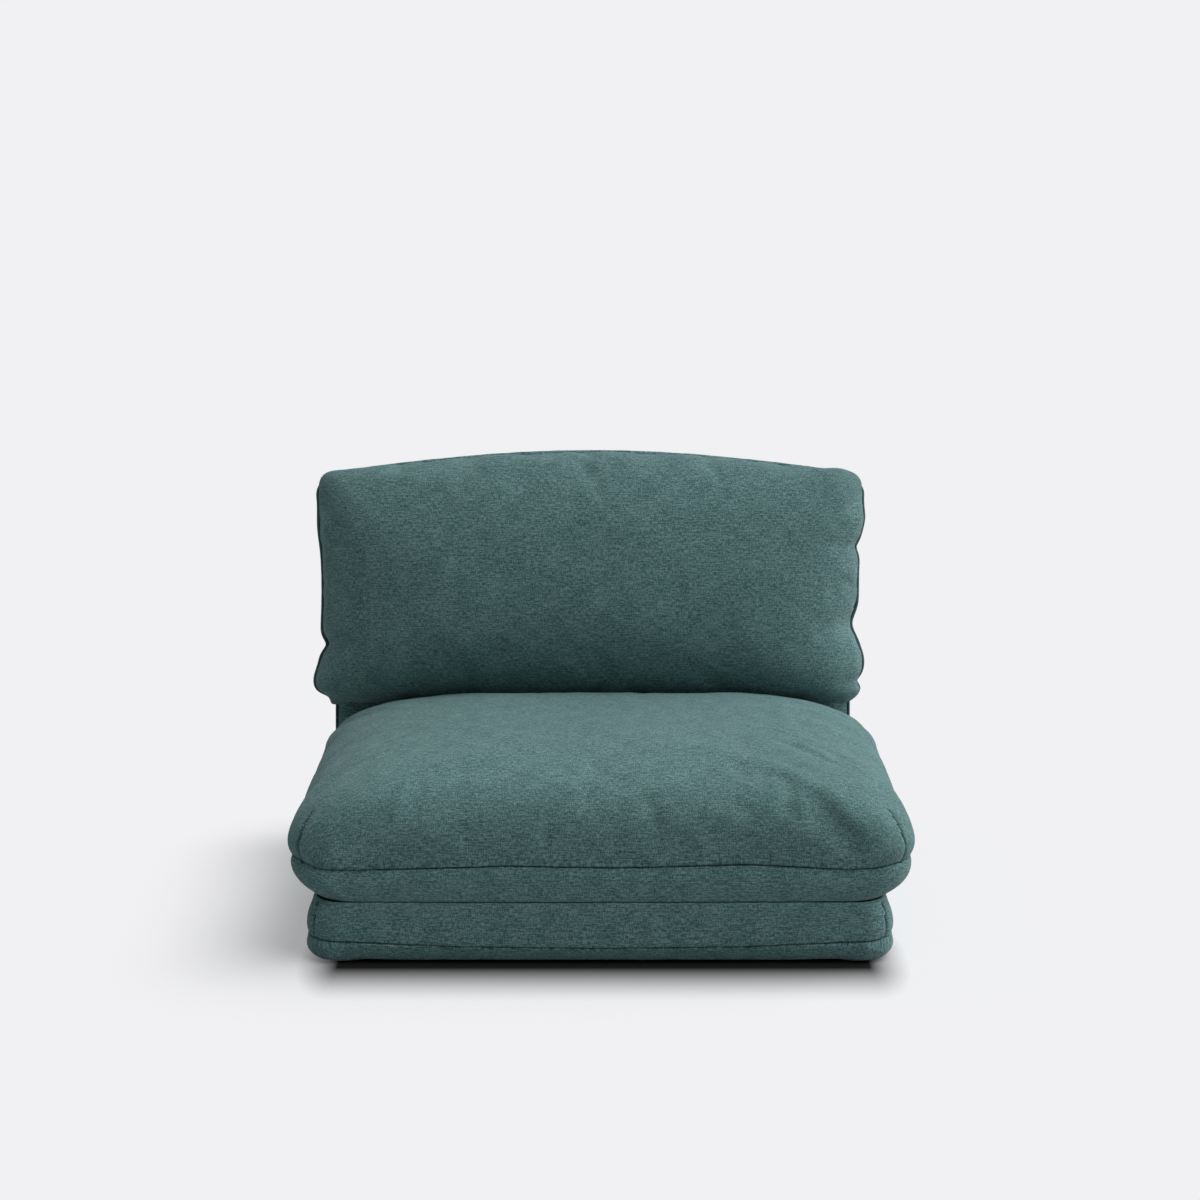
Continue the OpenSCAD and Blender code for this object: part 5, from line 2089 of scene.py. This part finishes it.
@dataclass(frozen=True)
class Studio:
    """The photograph's camera, a pale floor with a painted contact shadow, and soft light from above and
    the right.

    Attributes:
        eye: Where the camera stands.
        pitch: Degrees that it looks down.
        focal: Focal length in pixels of the photograph.
        frame: Width of the photograph in pixels.
        pale: Colour of the floor and the backdrop.
        fill: Strength of the even light all round.
        key: Strength of the main light, where 1 lights a level white surface fully.
        key_from: Direction that the main light comes from.
        side: Strength of the light from the right, on a surface that faces it.
        side_from: Direction that it comes from.
        softness: Degrees across that it seems.
        bounce: Share of the light that the floor gives back to the object.
        footprint: Low X, high X, low Y and high Y of the floor that the object shades.
        contact: The part of it where a deep shadow is painted along the front, while the object stands
            there.
        shade_reach: Distance over which its shade fades out round that.
        lift: Share by which the shade is lightened.
    """

    eye: tuple[float, float, float] = (0.0, -4.33, 1.353)
    pitch: float = 11.54
    focal: float = 2917.0
    frame: float = 1200.0
    pale: tuple[float, float, float] = (0.879, 0.879, 0.896)
    fill: float = 0.21
    key: float = 0.60
    key_from: tuple[float, float, float] = (0.5, -0.08, 0.87)
    side: float = 0.58
    side_from: tuple[float, float, float] = (0.85, 0.42, 0.3)
    softness: float = 60.0
    bounce: float = 0.45
    footprint: tuple[float, float, float, float] = (-0.45, 0.45, -0.33, 0.22)
    contact: tuple[float, float, float, float] = (-0.375, 0.385, -0.334, -0.27)
    shade_reach: float = 0.29
    lift: float = 0.34

    def build(self) -> None:
        """Sets up the camera, the floor and the light."""
        scene = bpy.context.scene
        scene.view_settings.view_transform = "Standard"
        lens = bpy.data.cameras.new("camera")
        lens.sensor_width = 36.0
        lens.lens = 36.0 * self.focal / self.frame
        lens.clip_end = 500.0
        camera = bpy.data.objects.new("camera", lens)
        camera.location = self.eye
        camera.rotation_euler = (math.radians(90 - self.pitch), 0.0, 0.0)
        scene.collection.objects.link(camera)
        scene.camera = camera
        self.lay_floor()
        self.light()

    def lay_floor(self) -> None:
        """Lays a wide floor that fades into the backdrop's colour away from the object, with a contact
        shadow painted along the object's front.
        """
        bm = bmesh.new()
        bmesh.ops.create_grid(bm, x_segments=1, y_segments=1, size=200.0)
        floor = to_object(bm, "floor")
        material = bpy.data.materials.new("floor_pale")
        material.use_nodes = True
        tree = material.node_tree
        tree.nodes.clear()
        g = Graph(tree)
        out = g.add("OutputMaterial")
        apart = g.add("SeparateXYZ")
        g.put(apart.inputs[0], g.add("TexCoord").outputs["Object"])

        def away(box: tuple[float, float, float, float], ends: tuple[float, float], low: float,
                 beside: float, ease: str) -> bpy.types.NodeSocket:
            """Rises from a low value to 1 between two distances from a box, sooner beside it."""
            gaps = []
            for axis, (near_to, far_to) in enumerate((box[:2], box[2:])):
                off = g.math("ABSOLUTE", g.math("SUBTRACT", apart.outputs[axis], (near_to + far_to) / 2))
                gaps.append(g.math("MAXIMUM", g.math("SUBTRACT", off, (far_to - near_to) / 2), 0.0))
            gaps[0] = g.math("MULTIPLY", gaps[0], beside)
            both = g.math("ADD", g.math("POWER", gaps[0], 2.0), g.math("POWER", gaps[1], 2.0))
            return g.ramp(g.math("SQRT", both), (*ends, low, 1.0), ease)

        def roofed(reach: float, low: float, high: float) -> bpy.types.NodeSocket:
            """Falls from 1 to 0 as the share of open sky within a reach rises between two values."""
            sky = g.add("AmbientOcclusion", samples=16)
            sky.inputs["Distance"].default_value = reach
            return g.ramp(sky.outputs["AO"], (low, high, 1.0, 0.0))

        far = away(self.footprint, (0.02, self.shade_reach), self.lift, 1.0, "SMOOTHSTEP")
        # Painted contact shadow: a dark strip along the object's front, lifted off where the object hovers
        # above the floor.
        strip = away(self.contact, (0.005, 0.15), 0.0, 2.5, "LINEAR")
        hovering = g.math("SUBTRACT", roofed(0.2, 0.44, 0.52), roofed(0.05, 0.75, 0.95), clamp=True)
        contact = g.math("MAXIMUM", strip, hovering)
        level = self.fill + self.key + self.side * Vector(self.side_from).normalized().z
        near = g.add("BsdfDiffuse")
        lit = (*(min(1.0, c / level) for c in self.pale), 1)
        # The floor's colour is painted dark where the contact mask is low, as a painted shadow.
        g.put(near.inputs[0], g.mix(contact, (*(0.02 * c for c in lit[:3]), 1), lit))
        glow = g.add("Emission")
        glow.inputs[0].default_value = (*self.pale, 1)
        seen = g.blend(g.math("MULTIPLY", far, contact), near, glow)
        dim = g.add("BsdfDiffuse")
        dim.inputs[0].default_value = (self.bounce, self.bounce, self.bounce, 1)
        ray = g.add("LightPath")
        shown = g.math("MAXIMUM", ray.outputs["Is Camera Ray"], ray.outputs["Is Glossy Ray"])
        g.put(out.inputs[0], g.blend(shown, dim, seen).outputs[0])
        floor.data.materials.append(material)

    def light(self) -> None:
        """Adds the even light, the main light and the light from the right."""
        world = bpy.data.worlds.new("studio")
        bpy.context.scene.world = world
        world.use_nodes = True
        g = Graph(world.node_tree)
        world.node_tree.nodes.clear()
        out = g.add("OutputWorld")
        even, seen = g.add("Background"), g.add("Background")
        even.inputs[0].default_value = (0.97, 0.99, 1.0, 1)
        even.inputs[1].default_value = self.fill
        seen.inputs[0].default_value = (*self.pale, 1)
        shown = g.add("LightPath").outputs["Is Camera Ray"]
        g.put(out.inputs[0], g.blend(shown, even, seen).outputs[0])
        aim = Vector(self.key_from).normalized()
        self.add_sun("key", aim, self.key / aim.z)
        self.add_sun("side", Vector(self.side_from).normalized(), self.side)

    def add_sun(self, name: str, aim: Vector, strength: float) -> None:
        """Adds one soft, even light.

        Args:
            name: Its name.
            aim: Direction that it comes from.
            strength: How far it lights a white surface that faces it.
        """
        sun = bpy.data.lights.new(name, "SUN")
        sun.energy = strength * math.pi
        sun.angle = math.radians(self.softness)
        lamp = bpy.data.objects.new(name, sun)
        lamp.rotation_mode = "QUATERNION"
        lamp.rotation_quaternion = aim.to_track_quat("Z", "Y")
        bpy.context.scene.collection.objects.link(lamp)


def main() -> None:
    """Builds the chair's looks round the frame."""
    logging.basicConfig(level=logging.INFO, format="%(name)s %(message)s")
    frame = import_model()
    Studio().build()
    finish_cad(frame["nodes"])
    seat, foot, back, pillow = SeatSection(), FootSection(), BackPanel(), Pillow()
    for cushion in (seat, foot, back, pillow):
        cushion.build()
    # The welts and the fold cord take the darkened copy of the cover cloth, which paints their shade.
    Welt("back_welt", Body.BACK, (), 2.2 * MM, SHADED_WELT_CLOTH).build(back.welt_path(), False)
    Welt("pillow_welt", Body.BACK, ("pillow_piping",), 2.9 * MM, SHADED_WELT_CLOTH).build(pillow.welt_path(), True)
    run = np.linspace(-FOLD_HALF, FOLD_HALF, 120)
    cord = np.stack([run, np.full_like(run, FOLD_Y), np.full_like(run, FOLD_Z)], 1)
    Welt("fold_cord", Body.SEAT, ("front_fold_cord",), 1.9 * MM, SHADED_WELT_CLOTH).build(cord, False)
    for name, cushion, node, zip_y in (
        ("seat_base", seat, "seat_base_cloth", 296 * MM),
        ("foot_base", foot, "foot_base_cloth", 276 * MM),
        ("back_rear", back, "back_rear_cloth", 61.2 * MM),
    ):
        BaseSheet(name, cushion.body, (node,), cushion.closing(), zip_y, cushion.placed()).build()
    FoldStrip().build(Body.SEAT)


if __name__ == "__main__":
    main()
